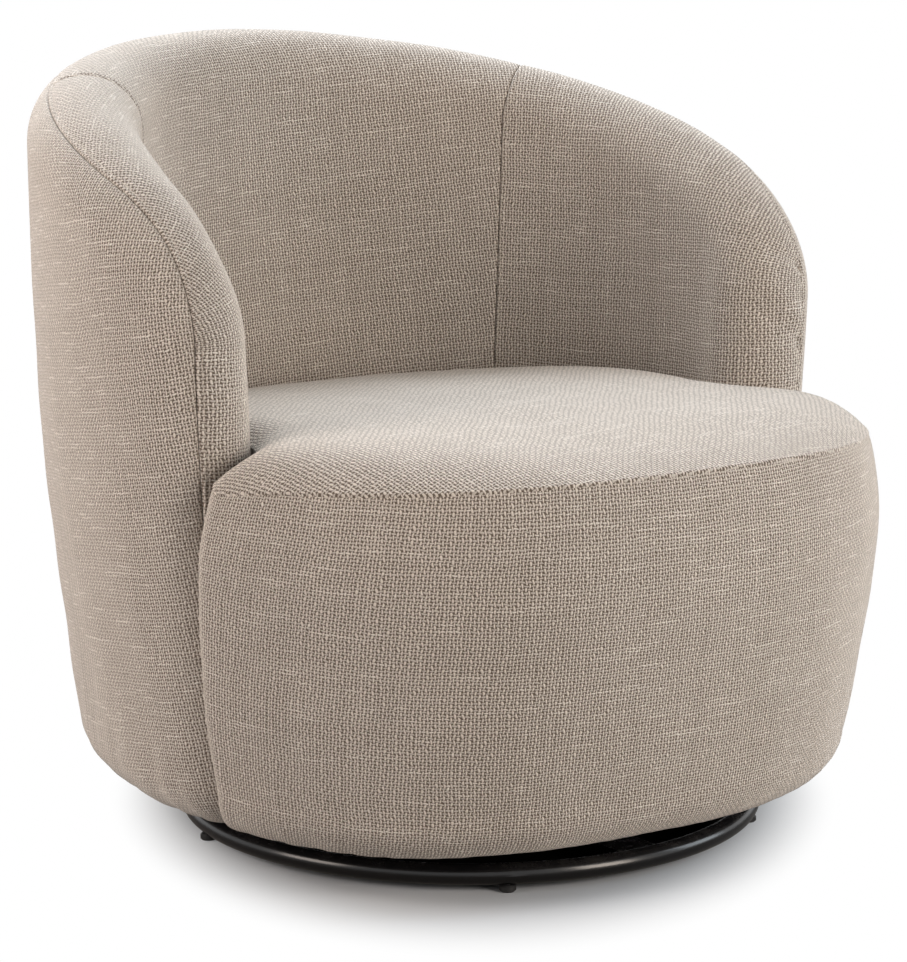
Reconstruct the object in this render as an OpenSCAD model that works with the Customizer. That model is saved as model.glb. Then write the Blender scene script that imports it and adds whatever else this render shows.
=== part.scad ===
// Swivel barrel armchair, upholstered all over in one woven cloth.
// A rounded wall forms the back and both arms, a thick tight seat wraps round the arm ends,
// and the body turns on a ball race above a round tube base.
// Millimetres. The floor is at height zero, +Z is up and the sitter faces -Y.
// The origin lies on the floor below the middle of the overall outline.
// The wall is drawn by three values: the side angle round the barrel (0 at the middle of the
// back, negative to the sitter's right), the height, and the distance out from mid-thickness.

/* [Barrel wall] */
// Outer radius of the wall at the arms
barrel_r = 385; // [360:1:410]
// Outer half-depth of the wall at the back
barrel_back_r = 443; // [415:1:470]
// Distance of the wall's centre behind the swivel axis
barrel_set_back = 17; // [0:1:30]
// Thickness of the padded wall
wall_t = 102; // [94:1:110]
// Height of the back above the floor
back_h = 733; // [700:1:780]
// Height at which the arm front turns from upright into the sloping top
arm_corner_h = 473; // [450:1:500]
// Side angle at which the arms end
arm_end_angle = 107.4; // [102:0.1:112]
// Fullness of the top line along the wall
top_sweep_power = 1.8; // [1.7:0.05:2.2]
// Fullness of the top line in height
top_rise_power = 2; // [1.9:0.05:2.2]
// Amount the wall leans in at its foot
wall_taper = 45; // [30:1:55]
// Fullness of that lean
taper_power = 2.4; // [2:0.1:3]
// Height below the top over which the wall stays plumb
plumb_h = 80; // [60:1:100]
// Radius of the turned-in bottom edge
bottom_r = 42; // [34:1:50]
// Side angle of the seams between the back and arm panels
panel_seam_angle = 48; // [40:1:56]
// Roll angle of the seam along the outer top edge
edge_seam_angle = 27; // [15:1:40]

/* [Seat] */
// Half-width of the seat front
seat_half_w = 362; // [345:1:375]
// Reach of the seat front ahead of its widest line
seat_reach = 353; // [330:1:370]
// Distance of that widest line behind the swivel axis
seat_set_back = 16; // [5:1:30]
// Squareness of the seat front seen from above
seat_power = 2.5; // [2.2:0.05:2.8]
// Height of the front seam at its ends
seam_h = 364; // [345:1:385]
// Extra height of the front seam at its middle
seam_rise = 9; // [0:1:16]
// Height of the seat's crown
crown_h = 399; // [385:1:420]
// Outward swell of the seat front below the seam
front_swell = 9; // [4:1:14]
// Lean of the seat front towards its foot
front_taper = 36; // [20:1:45]
// Radius of the corners that wrap round the arm ends
ear_r = 35; // [28:1:40]
// Drop of the seat's top edge at those corners
ear_drop = 24; // [10:1:30]

/* [Cloth and padding] */
// Thickness of the cover cloth with its backing
cloth_t = 2; // [1.5:0.1:3]
// Gap along a sewn joint between two panels
seam_gap = 0.5; // [0.4:0.1:1]
// Thickness of the wadding on the outside of the wall
wadding_t = 9; // [6:0.5:11]
// Clearance between soft layers
soft_gap = 0.3; // [0.2:0.05:0.5]

/* [Timber frame] */
// Thickness of the bottom plate, the seat deck and the top rail
ply_t = 18; // [15:1:20]
// Thickness of the upright ribs
rib_t = 18; // [15:1:21]
// Depth of the ribs and the top rail across the wall
rib_depth = 42; // [36:1:44]
// Distance of the seat deck's top face below the front seam
deck_drop = 110; // [104:1:124]
// Thickness of the bent hardboard liners
liner_t = 3; // [2:0.5:4]
// Thickness of the bent front panel
front_panel_t = 9; // [6:1:12]
// Side of the square posts under the seat deck
deck_post_w = 44; // [36:1:50]
// Width of the seat deck's timber at each side of its spring opening
deck_side_w = 108; // [96:1:124]
// Width of that timber at the front corners
deck_corner_w = 100; // [92:1:116]
// Width of that timber in front of the opening
deck_front_w = 86; // [76:1:100]
// Width of that timber behind the opening
deck_back_w = 181; // [160:1:200]
// Corner radius of the spring opening
opening_r = 30; // [20:1:40]

/* [Seat suspension] */
// Wire diameter of the zigzag springs
spring_wire = 3.8; // [3.2:0.1:4]
// Radius of each bend in a spring
spring_bend_r = 13; // [11:0.5:14]
// Straight run between the bends of a spring
spring_run = 24; // [16:1:30]
// Distance between the springs
spring_pitch = 78; // [72:1:80]
// Distance of the outer springs from the sides of the opening
spring_edge = 44; // [40:1:48]
// Sheet thickness of the spring clips
clip_t = 1.5; // [1:0.1:2]
// Width of a spring clip
clip_w = 20; // [16:1:22]
// Thickness of the felt over the springs
felt_t = 4; // [3:0.5:6]

/* [Swivel base] */
// Distance of the tube ring's centre line inside the ends of the overall outline
ring_set_in = 136; // [124:1:148]
// Outside diameter of the ring tube
tube_d = 19; // [16:1:22]
// Height of the glides below the tube
glide_h = 6; // [4:0.5:8]
// Foot diameter of a glide
glide_d = 15; // [12:1:20]
// Number of glides
glide_count = 5; // [5:1:8]
// Width of the crossed flat bars
bar_w = 40; // [36:1:46]
// Thickness of the crossed flat bars
bar_t = 6; // [5:0.5:7]
// Sheet thickness of the two race plates
plate_t = 2.5; // [2:0.25:3]
// Radius of the race plates
plate_r = 108; // [104:1:120]
// Radius of the circle on which the balls run
race_r = 74; // [66:1:76]
// Ball diameter
ball_d = 8; // [7:0.5:9]
// Number of balls
ball_count = 24; // [12:1:28]
// Diameter of the centre pin
pin_d = 16; // [12:1:18]
// Radial clearance of the pin in the turning plate
pin_play = 0.05; // [0.03:0.01:0.09]
// Radial clearance of the balls in their grooves
ball_play = 0.05; // [0.03:0.01:0.09]
// Radius of the circle of plate bolts
bolt_circle_r = 94; // [90:1:96]
// Shank diameter of the plate bolts
bolt_d = 8; // [6:1:8]
// Distance of the round board's edge inside the ring's centre line
board_set_in = 17; // [14:1:40]
// Thickness of the round board on the swivel
board_t = 14; // [12:0.5:18]
// Thickness of the black dust cloth under the body
dust_t = 0.6; // [0.4:0.1:1]

/* [Hidden] */

// Overrun of every cut
over = 1;
// Clearance between rigid pieces that are placed side by side
fit_gap = 0.2;
// Faces of round solids
$fn = 64;
// Room behind the outer liner and over the top rail for the flats of bent sheets
bend_room = 1.8;
// Room beside each rib where the oval wall does not run square to it
skew_room = 0.8;
// Height above the deck at which the inner covers and their padding end
tuck_rise = 46;
// Height above that end at which the covers start on the arm fronts
tuck_margin = 14;
// Height above the turned-in edge at which the outer cover starts on the arm fronts
arm_foot_rise = 34;
// Overlap of the felt beyond the springs, and of the springs beyond their opening
felt_margin = 14;
spring_bearing = 10;
// Length cut off each corner of the felt
felt_corner = 42;

// Overall outline and the shift that puts the origin below its middle
front_y = seat_set_back - seat_reach - front_swell;
back_y = barrel_set_back + barrel_back_r;
axis_y = -(front_y + back_y) / 2;
barrel_y = axis_y + barrel_set_back;
seat_y = axis_y + seat_set_back;
ring_r = back_y + axis_y - ring_set_in;

// Stack of the swivel, from the floor up
ring_z = glide_h + tube_d / 2;
bar_top_z = ring_z + bar_t / 2;
lower_plate_top_z = bar_top_z + plate_t;
groove_r = ball_d / 2 + ball_play;
ball_z = lower_plate_top_z + groove_r + 0.15 * plate_t;
upper_plate_z = 2 * ball_z - lower_plate_top_z;
board_z = upper_plate_z + plate_t;
frame_z = board_z + board_t;
hem_z = frame_z - cloth_t - soft_gap;
plate_top_z = frame_z + ply_t;
knee_z = hem_z + bottom_r;

// Height of the seat deck's top and bottom faces
deck_h = seam_h - deck_drop;
deck_z = deck_h - ply_t;

// Wall measures
half_t = wall_t / 2;
mid_r = barrel_r - half_t;
deg_mm = mid_r * PI / 180;
back_share = barrel_back_r / barrel_r;
roll_angle = half_t / deg_mm;
post_angle = arm_end_angle - roll_angle;
tuck_z = deck_h + tuck_rise;
hem_wrap_share = 0.6;
hem_wrap = bottom_r * hem_wrap_share;
rail_inset = half_t + bend_room / 2;
rib_out = half_t - cloth_t - wadding_t - liner_t - 3 * soft_gap - bend_room;
rib_in = rib_out - rib_depth;
rib_out_face = rib_out - skew_room;
rib_in_face = rib_in + skew_room;
inner_foam_off = rib_in - liner_t - 2 * soft_gap;
plate_inset = bottom_r + skew_room;
outer_foot_z = knee_z + arm_foot_rise;
inner_foot_z = tuck_z + tuck_margin;

// Steps of the wall's grids
low_steps = 4;
arm_steps = 8;
back_steps = 10;
roll_steps = 7;
edge_steps = 3;
face_steps = 6;
turn_steps = 3;
cap_columns = 3;
// Distance of the last cap column from the front seam, as a share of the columns' spacing
cap_end_share = 0.3;
panel_gap_angle = seam_gap / 2 / deg_mm;
edge_gap_angle = seam_gap / half_t * 180 / PI;

// Steps of the seat's grids
front_steps = 9;
ear_steps = 4;
cap_steps = 4;
wall_steps = 8;
ear_search_steps = 24;
ear_search = [45, 89.9];
seat_ring_shares = [0.12, 0.35, 0.6, 0.8, 0.92, 0.975, 1];

// Springs and felt between the deck and the seat's padding
clip_in_r = spring_wire / 2 + fit_gap / 2;
clip_out_r = clip_in_r + clip_t;
spring_z = deck_h + clip_out_r;
felt_z = spring_z + clip_out_r + soft_gap;
foam_z = felt_z + felt_t + soft_gap;

// Fullness of the seat front's lean, of its crown and of the top's fall to its corners and wall
front_taper_power = 1.6;
crown_power = 2.6;
corner_power = 14;
wall_power = 30;
// Place of the crown's middle ahead of the seat's widest line, as a share of the reach
crown_share = 0.22;
// Fall of the seat's top towards the back and along the wall, as shares of the seam's rise
back_fall_share = 2.6;
wall_fall_share = 1.6;

// Rows of the seat's side as shares of the way from the seam to the hem
swell_share = 0.22;
foam_share = (seam_h - foam_z) / (seam_h - hem_z);
knee_share = (seam_h - knee_z) / (seam_h - hem_z);
upper_row_shares = [swell_share * 0.45, swell_share, foam_share];
lower_row_shares = [for (f = [1 / 3, 2 / 3, 1]) mix(foam_share, knee_share, f)];

fabric_colour = [0.70, 0.66, 0.61];
foam_colour = [0.93, 0.87, 0.66];
wadding_colour = [0.93, 0.93, 0.92];
ply_colour = [0.80, 0.64, 0.42];
board_colour = [0.10, 0.10, 0.11];
steel_colour = [0.62, 0.63, 0.65];
black_colour = [0.06, 0.06, 0.07];
liner_colour = [0.48, 0.36, 0.24];

function mix(a, b, f) = a + (b - a) * f;
function signed_power(v, p) = sign(v) * pow(abs(v), p);
function unit(v) = v / norm(v);

// Wall: lean, a point on the wall, and the top line
function lean(z) = wall_taper
    * pow(max(0, (back_h - plumb_h - z) / (back_h - plumb_h - hem_z)), taper_power);
function wall_pt(s, z, off) =
    let (r = mid_r - lean(z) + off, depth = cos(s) > 0 ? back_share : 1)
    [r * sin(s), barrel_y + r * depth * cos(s), z];
function sweep_of(s) = acos(pow(s / arm_end_angle, top_sweep_power / 2));
function edge_s(t) = -arm_end_angle * signed_power(cos(t), 2 / top_sweep_power);
function edge_z(t) = mix(arm_corner_h, back_h, pow(max(0, sin(t)), 2 / top_rise_power));

// A column is a place on the top line: side angle, height and the inward direction there
function column(t) =
    let (s = edge_s(t), z = edge_z(t), rise = back_h - arm_corner_h,
        gs = sign(s) / arm_end_angle / deg_mm
            * top_sweep_power * pow(abs(s) / arm_end_angle, top_sweep_power - 1),
        gz = top_rise_power / rise
            * pow(max(0, z - arm_corner_h) / rise, top_rise_power - 1),
        g = unit([gs, gz]))
    [s, z, -g[0], -g[1]];
function low_column(z) = [-arm_end_angle, z, 1, 0];
function mirrored_column(c) = [-c[0], c[1], -c[2], c[3]];
function reversed(list) = [for (i = [len(list) - 1:-1:0]) list[i]];

// Columns of the left arm's edge from its foot at low_z up to the panel seam
function arm_columns(low_z, seam_s) = concat(
    [for (i = [0:low_steps - 1]) low_column(mix(low_z, arm_corner_h, i / low_steps))],
    [for (i = [0:arm_steps]) column(sweep_of(seam_s) * i / arm_steps)]);
function back_columns(seam_s) =
    [for (i = [0:back_steps])
        column(mix(sweep_of(seam_s), 180 - sweep_of(seam_s), i / back_steps))];

// Side angle of each column's foot: fanned out along the arm, straight below on the back
function arm_feet(count, seam_s) =
    [for (i = [0:count - 1]) -mix(post_angle, seam_s, i / (count - 1))];

// All columns round the wall, from the foot of one arm to the foot of the other
function all_columns(low_z) =
    let (left = arm_columns(low_z, panel_seam_angle), mid = back_columns(panel_seam_angle))
    concat(left, [for (i = [1:back_steps - 1]) mid[i]],
        [for (c = reversed(left)) mirrored_column(c)]);
function all_feet() =
    let (left = arm_feet(low_steps + arm_steps + 1, panel_seam_angle),
        mid = back_columns(panel_seam_angle))
    concat(left, [for (i = [1:back_steps - 1]) mid[i][0]], [for (s = reversed(left)) -s]);

// Points on the rounded edge, on a face of the wall and on its turned-in bottom
function roll_pt(c, r, b) =
    let (inset = half_t - r * cos(b))
    wall_pt(c[0] + c[2] * inset / deg_mm, c[1] + c[3] * inset, -r * sin(b));
function face_pt(c, inset, foot_s, foot_z, off, f) =
    wall_pt(mix(c[0] + c[2] * inset / deg_mm, foot_s, f), mix(c[1] + c[3] * inset, foot_z, f), off);
function turn_pt(foot_s, d, a) =
    wall_pt(foot_s, knee_z - (bottom_r - d) * sin(a), half_t - bottom_r + (bottom_r - d) * cos(a));

// Grids of points: rows run from the outer edge seam, columns along the wall
function inner_rows(cols, feet, d) =
    let (r = half_t - d, start = edge_gap_angle - edge_seam_angle)
    concat(
        [for (i = [0:roll_steps]) [for (c = cols) roll_pt(c, r, mix(start, 90, i / roll_steps))]],
        [for (i = [1:face_steps])
            [for (j = [0:len(cols) - 1])
                face_pt(cols[j], half_t, feet[j], tuck_z, -r, i / face_steps)]]);
// Columns that close the front of an arm below the outer cover's first column
function cap_pt(z, r, b) = roll_pt(low_column(z), r, b);
function cap_turn_pt(d, a, b) =
    cap_pt(knee_z - (bottom_r - d) * sin(a), half_t - bottom_r + (bottom_r - d) * cos(a), b);
function cap_angle(k) = mix(-90, -edge_seam_angle, k / (cap_columns + cap_end_share));
function cap_top_z(k) = mix(outer_foot_z, knee_z, k / (cap_columns + 1));
function cap_rows(d, turns) =
    let (r = half_t - d, ks = [for (k = [cap_columns:-1:1]) k])
    concat(
        [for (i = [0:edge_steps])
            [for (k = ks) cap_pt(cap_top_z(k), r, mix(-edge_seam_angle, cap_angle(k), i / edge_steps))]],
        [for (i = [1:face_steps])
            [for (k = ks) cap_pt(mix(cap_top_z(k), knee_z, i / face_steps), r, cap_angle(k))]],
        [for (i = [1:turns]) [for (k = ks) cap_turn_pt(d, 90 * i / turn_steps, cap_angle(k))]]);
function cap_hem(d) =
    [[for (k = [cap_columns:-1:1]) cap_pt(hem_z + d, (half_t - bottom_r) / 2, cap_angle(k))]];
function flipped(row) = [for (p = reversed(row)) [-p[0], p[1], p[2]]];
function with_caps(rows, caps) =
    [for (i = [0:len(rows) - 1]) concat(caps[i], rows[i], flipped(caps[i]))];
function outer_rows(cols, feet, d, turns) =
    let (r = half_t - d, start = -edge_seam_angle - (d > cloth_t ? edge_gap_angle : 0))
    with_caps(concat(
        [for (i = [0:edge_steps]) [for (c = cols) roll_pt(c, r, mix(start, -90, i / edge_steps))]],
        [for (i = [1:face_steps])
            [for (j = [0:len(cols) - 1])
                face_pt(cols[j], half_t, feet[j], knee_z, r, i / face_steps)]],
        [for (i = [1:turns]) [for (s = feet) turn_pt(s, d, 90 * i / turn_steps)]]),
        cap_rows(d, turns));
function hem_row(feet, d) =
    with_caps([[for (s = feet) wall_pt(s, hem_z + d, half_t - bottom_r - hem_wrap)]], cap_hem(d));
// Inner boundary of the wall's padding: under the wadding, over the top rail, down the liner
function core_rows(cols, feet) =
    let (r = half_t - cloth_t - wadding_t - 6 * soft_gap,
        start = edge_gap_angle - edge_seam_angle)
    concat(
        [for (i = [0:edge_steps]) [for (c = cols) roll_pt(c, r, mix(start, -90, i / edge_steps))]],
        [for (i = [1:roll_steps - edge_steps])
            [for (c = cols)
                face_pt(c, half_t, c[0], c[1],
                    mix(r, inner_foam_off, i / (roll_steps - edge_steps)), 0)]],
        [for (i = [1:face_steps])
            [for (j = [0:len(cols) - 1])
                face_pt(cols[j], half_t, feet[j], tuck_z, inner_foam_off, i / face_steps)]]);
function liner_rows(cols, feet, foot_z, off) =
    [for (i = [0:face_steps])
        [for (j = [0:len(cols) - 1])
            face_pt(cols[j], half_t + 2 * soft_gap, feet[j], foot_z, off, i / face_steps)]];
// Grid of the top rail: one four-cornered ring for each column of the sloping top
function rail_ring(c) =
    [for (corner = [[0, rib_out_face], [0, rib_in_face], [ply_t, rib_in_face], [ply_t, rib_out_face]])
        face_pt(c, rail_inset + corner[0], c[0], c[1], corner[1], 0)];
rail_columns = [for (c = all_columns(arm_corner_h)) if (c[3] != 0) c];

// Seat front seen from above: a full curve whose corners roll in against the arm ends.
// swell_at gives how far the front stands out or in at a height.
function swell_at(z) =
    let (q = (seam_h - z) / (seam_h - hem_z))
    front_swell * sin(90 * min(1, max(0, q) / swell_share))
        - front_taper * pow(max(0, (q - swell_share) / (1 - swell_share)), front_taper_power);
function plan_pt(a, b, psi) =
    [-a * pow(sin(psi), 2 / seat_power), seat_y - b * pow(cos(psi), 2 / seat_power)];
function plan_in(a, b, psi) =
    let (p = plan_pt(a, b, psi))
    unit([pow(-p[0] / a, seat_power - 1) / a, pow((seat_y - p[1]) / b, seat_power - 1) / b]);
function arm_end_pt(z) =
    let (p = wall_pt(-post_angle, z, 0))
    [p[0], p[1]];
function ear_miss(a, b, psi, centre, reach) =
    norm(plan_pt(a, b, psi) + ear_r * plan_in(a, b, psi) - centre) - reach;
function ear_psi(a, b, centre, reach, low, high, n) =
    let (m = (low + high) / 2)
    n == 0 ? m
        : ear_miss(a, b, m, centre, reach) > 0 ? ear_psi(a, b, centre, reach, m, high, n - 1)
        : ear_psi(a, b, centre, reach, low, m, n - 1);
function positive_angle(v) = let (a = atan2(v[1], v[0])) a < 0 ? a + 360 : a;

// Left half of the front, from the middle to the touch with the arm end
function front_half(z, inset, d) =
    let (a = seat_half_w + swell_at(z) - inset, b = seat_reach + swell_at(z) - inset,
        centre = arm_end_pt(z), reach = half_t + soft_gap + d + ear_r,
        psi = ear_psi(a, b, centre, reach, ear_search[0], ear_search[1], ear_search_steps),
        e = plan_pt(a, b, psi) + ear_r * plan_in(a, b, psi),
        from = positive_angle(-plan_in(a, b, psi)), to = positive_angle(centre - e))
    concat(
        [for (i = [0:front_steps]) plan_pt(a, b, psi * i / front_steps)],
        [for (i = [1:ear_steps])
            let (w = mix(from, to, i / ear_steps))
            e + ear_r * [cos(w), sin(w)]]);
// Left half of the line where the seat meets an arm end and the wall's inner face
function wall_half(z, d) =
    let (c = arm_end_pt(z), touch = front_half(z, d, d)[front_steps + ear_steps],
        r = half_t + 2 * soft_gap + d, side = wall_pt(-post_angle, z, -r),
        from = atan2(touch[1] - c[1], touch[0] - c[0]), to = atan2(side[1] - c[1], side[0] - c[0]),
        half_step = (to - from) / cap_steps / 2)
    concat(
        [for (i = [1:cap_steps])
            let (w = mix(from, to, i / cap_steps))
            c + r / (i < cap_steps ? cos(half_step) : 1) * [cos(w), sin(w)]],
        [for (i = [1:wall_steps])
            let (p = wall_pt(-post_angle * (1 - i / wall_steps), z, -r))
            [p[0], p[1]]]);
function whole_loop(half) = concat(half,
    [for (i = [len(half) - 2:-1:1]) [-half[i][0], half[i][1]]]);
function whole_arc(half) = concat(
    [for (i = [len(half) - 1:-1:1]) half[i]], [for (p = half) [-p[0], p[1]]]);

// Height of the seat's crowned top above a place on the plan
seat_mid_y = seat_y - seat_reach * crown_share;
seat_mid = [0, seat_mid_y];
back_fall = seam_rise * back_fall_share;
function crowned_z(p) =
    let (across = pow(abs(p[0]) / seat_half_w, seat_power),
        ahead = pow(max(0, seat_y - p[1]) / seat_reach, seat_power),
        behind = max(0, p[1] - seat_y) / (back_share * mid_r))
    crown_h - (crown_h - seam_h) * pow(across + ahead, crown_power / seat_power)
        - back_fall * behind * behind;

// Along half of the seat's edge: rise of the seam, drop at the corners, roll down at the wall.
// The drop starts a few of the edge's points before the corner and ends some way past it.
drop_lead = 2;
drop_tail = 1.5;
edge_ends = [front_steps, front_steps + ear_steps, front_steps + ear_steps + cap_steps];
function eased(f) = let (c = min(1, max(0, f))) c * c * (3 - 2 * c);
function rise_at(i) = i > edge_ends[0] ? 0 : seam_rise * pow(cos(90 * i / edge_ends[0]), 2);
function drop_at(i) = ear_drop * (i <= edge_ends[1]
    ? eased((i - edge_ends[0] + drop_lead) / (ear_steps + drop_tail))
    : 1 - eased((i - edge_ends[1]) / (cap_steps + drop_tail)));
function roll_at(i) = seam_rise * wall_fall_share * eased((i - edge_ends[1]) / cap_steps);
edge_count = edge_ends[2] + wall_steps;
edge_index = concat([for (i = [0:edge_count]) i], [for (i = [edge_count - 1:-1:1]) i]);

// Rings of the seat's crowned top, at depth d below the finished face
function seat_loop(z, d) = whole_loop(concat(front_half(z, d, d), wall_half(z, d)));
function seat_ring(share, d) =
    let (loop = seat_loop(seam_h, d), finished = seat_loop(seam_h, 0))
    [for (k = [0:len(loop) - 1])
        let (i = edge_index[k], y = mix(seat_mid_y, loop[k][1], share),
            top = crowned_z([finished[k][0] * share, mix(seat_mid_y, finished[k][1], share)]))
        [loop[k][0] * share, y, top + rise_at(i) * share * share
            - drop_at(i) * pow(share, corner_power) - roll_at(i) * pow(share, wall_power) - d]];
edge_loop_z = [for (p = seat_ring(1, 0)) p[2]];
front_arc_z = let (half = [for (i = [0:edge_ends[1]]) edge_loop_z[i]])
    concat(reversed(half), [for (i = [1:edge_ends[1]]) half[i]]);
// Height of a row of the seat's side: level below the foam's foot, following the seam above it
function side_z(top, share) = mix(top, foam_z, share / foam_share);
function side_nominal_z(share) = mix(seam_h, hem_z, share);
side_start = cloth_t + seam_gap;

// Two triangles for four corners
function quad(a, b, c, d) = [[a, b, c], [a, c, d]];

// Closed skin between two grids with the same rows and columns
module skin(outer, inner) {
    m = len(outer) - 1;
    n = len(outer[0]) - 1;
    w = n + 1;
    k = (m + 1) * w;
    points = concat([for (row = outer) each row], [for (row = inner) each row]);
    faces = concat(
        [for (i = [0:m - 1], j = [0:n - 1])
            each quad(i * w + j, i * w + j + 1, (i + 1) * w + j + 1, (i + 1) * w + j)],
        [for (i = [0:m - 1], j = [0:n - 1])
            each quad(k + i * w + j, k + (i + 1) * w + j, k + (i + 1) * w + j + 1, k + i * w + j + 1)],
        [for (j = [0:n - 1]) each quad(j, k + j, k + j + 1, j + 1)],
        [for (j = [0:n - 1]) each quad(m * w + j, m * w + j + 1, k + m * w + j + 1, k + m * w + j)],
        [for (i = [0:m - 1]) each quad((i + 1) * w, k + (i + 1) * w, k + i * w, i * w)],
        [for (i = [0:m - 1])
            each quad(k + i * w + n, k + (i + 1) * w + n, (i + 1) * w + n, i * w + n)]);
    polyhedron(points, faces, convexity = 8);
}

// Closed stack of rings with the same number of points, with a fan at each end.
// From the ring numbered fold on, the rings run back and their quads split the other way.
module stack(rings, mid = undef, fold = undef) {
    m = len(rings) - 1;
    n = len(rings[0]);
    k = (m + 1) * n;
    points = concat([for (ring = rings) each ring], [fan_mid(rings[0], mid), fan_mid(rings[m], mid)]);
    faces = concat(
        [for (i = [0:m - 1], j = [0:n - 1])
            let (next = (j + 1) % n, a = i * n + j, b = a + n, c = (i + 1) * n + next, d = c - n)
            each fold != undef && i >= fold ? quad(b, c, d, a) : quad(a, b, c, d)],
        [for (j = [0:n - 1]) [k, j, (j + 1) % n]],
        [for (j = [0:n - 1]) [k + 1, m * n + (j + 1) % n, m * n + j]]);
    polyhedron(points, faces, convexity = 8);
}
function mean(ring) = [for (p = ring) 1] * ring / len(ring);
function fan_mid(ring, mid) =
    let (m = mean(ring))
    mid == undef ? m : [mid[0], mid[1], m[2]];

// Moves a piece that is drawn on the swivel axis to its place
module on_axis() {
    translate([0, axis_y, 0]) children();
}

// Repeats a piece round the swivel axis
module around(count, radius, turn = 0) {
    for (i = [0:count - 1])
        rotate([0, 0, turn + 360 * i / count]) translate([0, -radius, 0]) children();
}

// Swivel base

glide_stem_d = glide_d * 0.4;
glide_stem_h = tube_d * 0.45;
glide_turn = -30;

module base_ring() {
    color(black_colour)
    on_axis() difference() {
        rotate_extrude($fn = 128) translate([ring_r, ring_z]) circle(d = tube_d);
        around(glide_count, ring_r, glide_turn)
            translate([0, 0, glide_h - over])
                cylinder(d = glide_stem_d + 2 * fit_gap, h = glide_stem_h + over + fit_gap);
    }
}

module glides() {
    chamfer = glide_h * 0.2;
    color(black_colour)
    on_axis() around(glide_count, ring_r, glide_turn)
        rotate_extrude() polygon([
            [0, 0], [glide_d / 2 - chamfer, 0], [glide_d / 2, chamfer],
            [glide_d / 2, glide_h - chamfer], [glide_d / 2 - chamfer, glide_h],
            [glide_stem_d / 2, glide_h], [glide_stem_d / 2, glide_h + glide_stem_h],
            [0, glide_h + glide_stem_h]]);
}

pin_head_d = pin_d * 1.7;
pin_head_h = bar_t * 0.6;
bar_hole_d = pin_head_d + 4 * fit_gap + plate_t;

module crossed_bars() {
    color(black_colour)
    on_axis() translate([0, 0, bar_top_z - bar_t]) difference() {
        intersection() {
            union() {
                for (a = [0, 90])
                    rotate([0, 0, a]) translate([-ring_r, -bar_w / 2, 0])
                        cube([2 * ring_r, bar_w, bar_t]);
            }
            translate([0, 0, -over])
                cylinder(r = ring_r - tube_d / 2 - fit_gap, h = bar_t + 2 * over, $fn = 128);
        }
        translate([0, 0, -over]) cylinder(d = bar_hole_d, h = bar_t + 2 * over);
        around(4, bolt_circle_r)
            translate([0, 0, -over]) cylinder(d = bolt_d + 2 * fit_gap, h = bar_t + 2 * over);
    }
}

lip_w = groove_r + plate_t;
lip_h = groove_r * 0.6;

// Pressed plate with a ball groove between two raised lips, drawn with its groove facing up
module race_plate(bore_r) {
    difference() {
        rotate_extrude($fn = 96) difference() {
            union() {
                translate([bore_r, 0]) square([plate_r - bore_r, plate_t]);
                translate([race_r - lip_w, 0])
                    square([2 * lip_w, ball_z - bar_top_z - groove_r + lip_h]);
            }
            translate([race_r, ball_z - bar_top_z]) circle(r = groove_r);
        }
        around(4, bolt_circle_r)
            translate([0, 0, -over]) cylinder(d = bolt_d + 2 * fit_gap, h = plate_t + 2 * over);
    }
}

module lower_race_plate() {
    color(steel_colour)
    on_axis() translate([0, 0, bar_top_z]) race_plate(pin_d / 2 + pin_play);
}

module upper_race_plate() {
    color(steel_colour)
    on_axis() rotate([0, 0, 45]) translate([0, 0, board_z]) mirror([0, 0, 1])
        race_plate(pin_d / 2 + pin_play);
}

bolt_head_d = bolt_d * 1.6;
bolt_head_h = bolt_d * 0.4;
nut_h = bolt_d * 0.45;

// Low-head bolt along +Z with its head above the joint and a nut below a grip
module plate_bolt(grip) {
    translate([0, 0, -grip - nut_h]) cylinder(d = bolt_d, h = grip + nut_h);
    cylinder(d = bolt_head_d, h = bolt_head_h);
    translate([0, 0, -grip - nut_h]) cylinder(d = bolt_d * 1.7, h = nut_h, $fn = 6);
}

module lower_plate_bolts() {
    color(steel_colour)
    on_axis() around(4, bolt_circle_r)
        translate([0, 0, lower_plate_top_z]) plate_bolt(plate_t + bar_t);
}

module upper_plate_bolts() {
    color(steel_colour)
    on_axis() rotate([0, 0, 45]) around(4, bolt_circle_r)
        translate([0, 0, upper_plate_z]) {
            mirror([0, 0, 1]) cylinder(d = bolt_head_d, h = bolt_head_h);
            cylinder(d = bolt_d, h = plate_t + board_t);
        }
}

pin_thread_d = pin_d * 0.75;
washer_t = plate_t * 0.7;
washer_z = board_z + fit_gap;
pin_nut_h = pin_d * 0.4;

module centre_pin() {
    color(steel_colour)
    on_axis() {
        translate([0, 0, bar_top_z - pin_head_h]) cylinder(d = pin_head_d, h = pin_head_h);
        translate([0, 0, bar_top_z - pin_head_h])
            cylinder(d = pin_d, h = washer_z - bar_top_z + pin_head_h);
        translate([0, 0, washer_z])
            cylinder(d = pin_thread_d, h = washer_t + pin_nut_h);
    }
}

module pin_washer() {
    color(steel_colour)
    on_axis() translate([0, 0, washer_z]) difference() {
        cylinder(d = pin_d * 1.8, h = washer_t);
        translate([0, 0, -over])
            cylinder(d = pin_thread_d + 2 * pin_play, h = washer_t + 2 * over);
    }
}

module pin_nut() {
    color(steel_colour)
    on_axis() translate([0, 0, washer_z + washer_t]) difference() {
        cylinder(d = pin_d * 1.4, h = pin_nut_h, $fn = 6);
        translate([0, 0, -over])
            cylinder(d = pin_thread_d + 2 * pin_play, h = pin_nut_h + 2 * over);
    }
}

cage_t = ball_d * 0.15;

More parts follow.
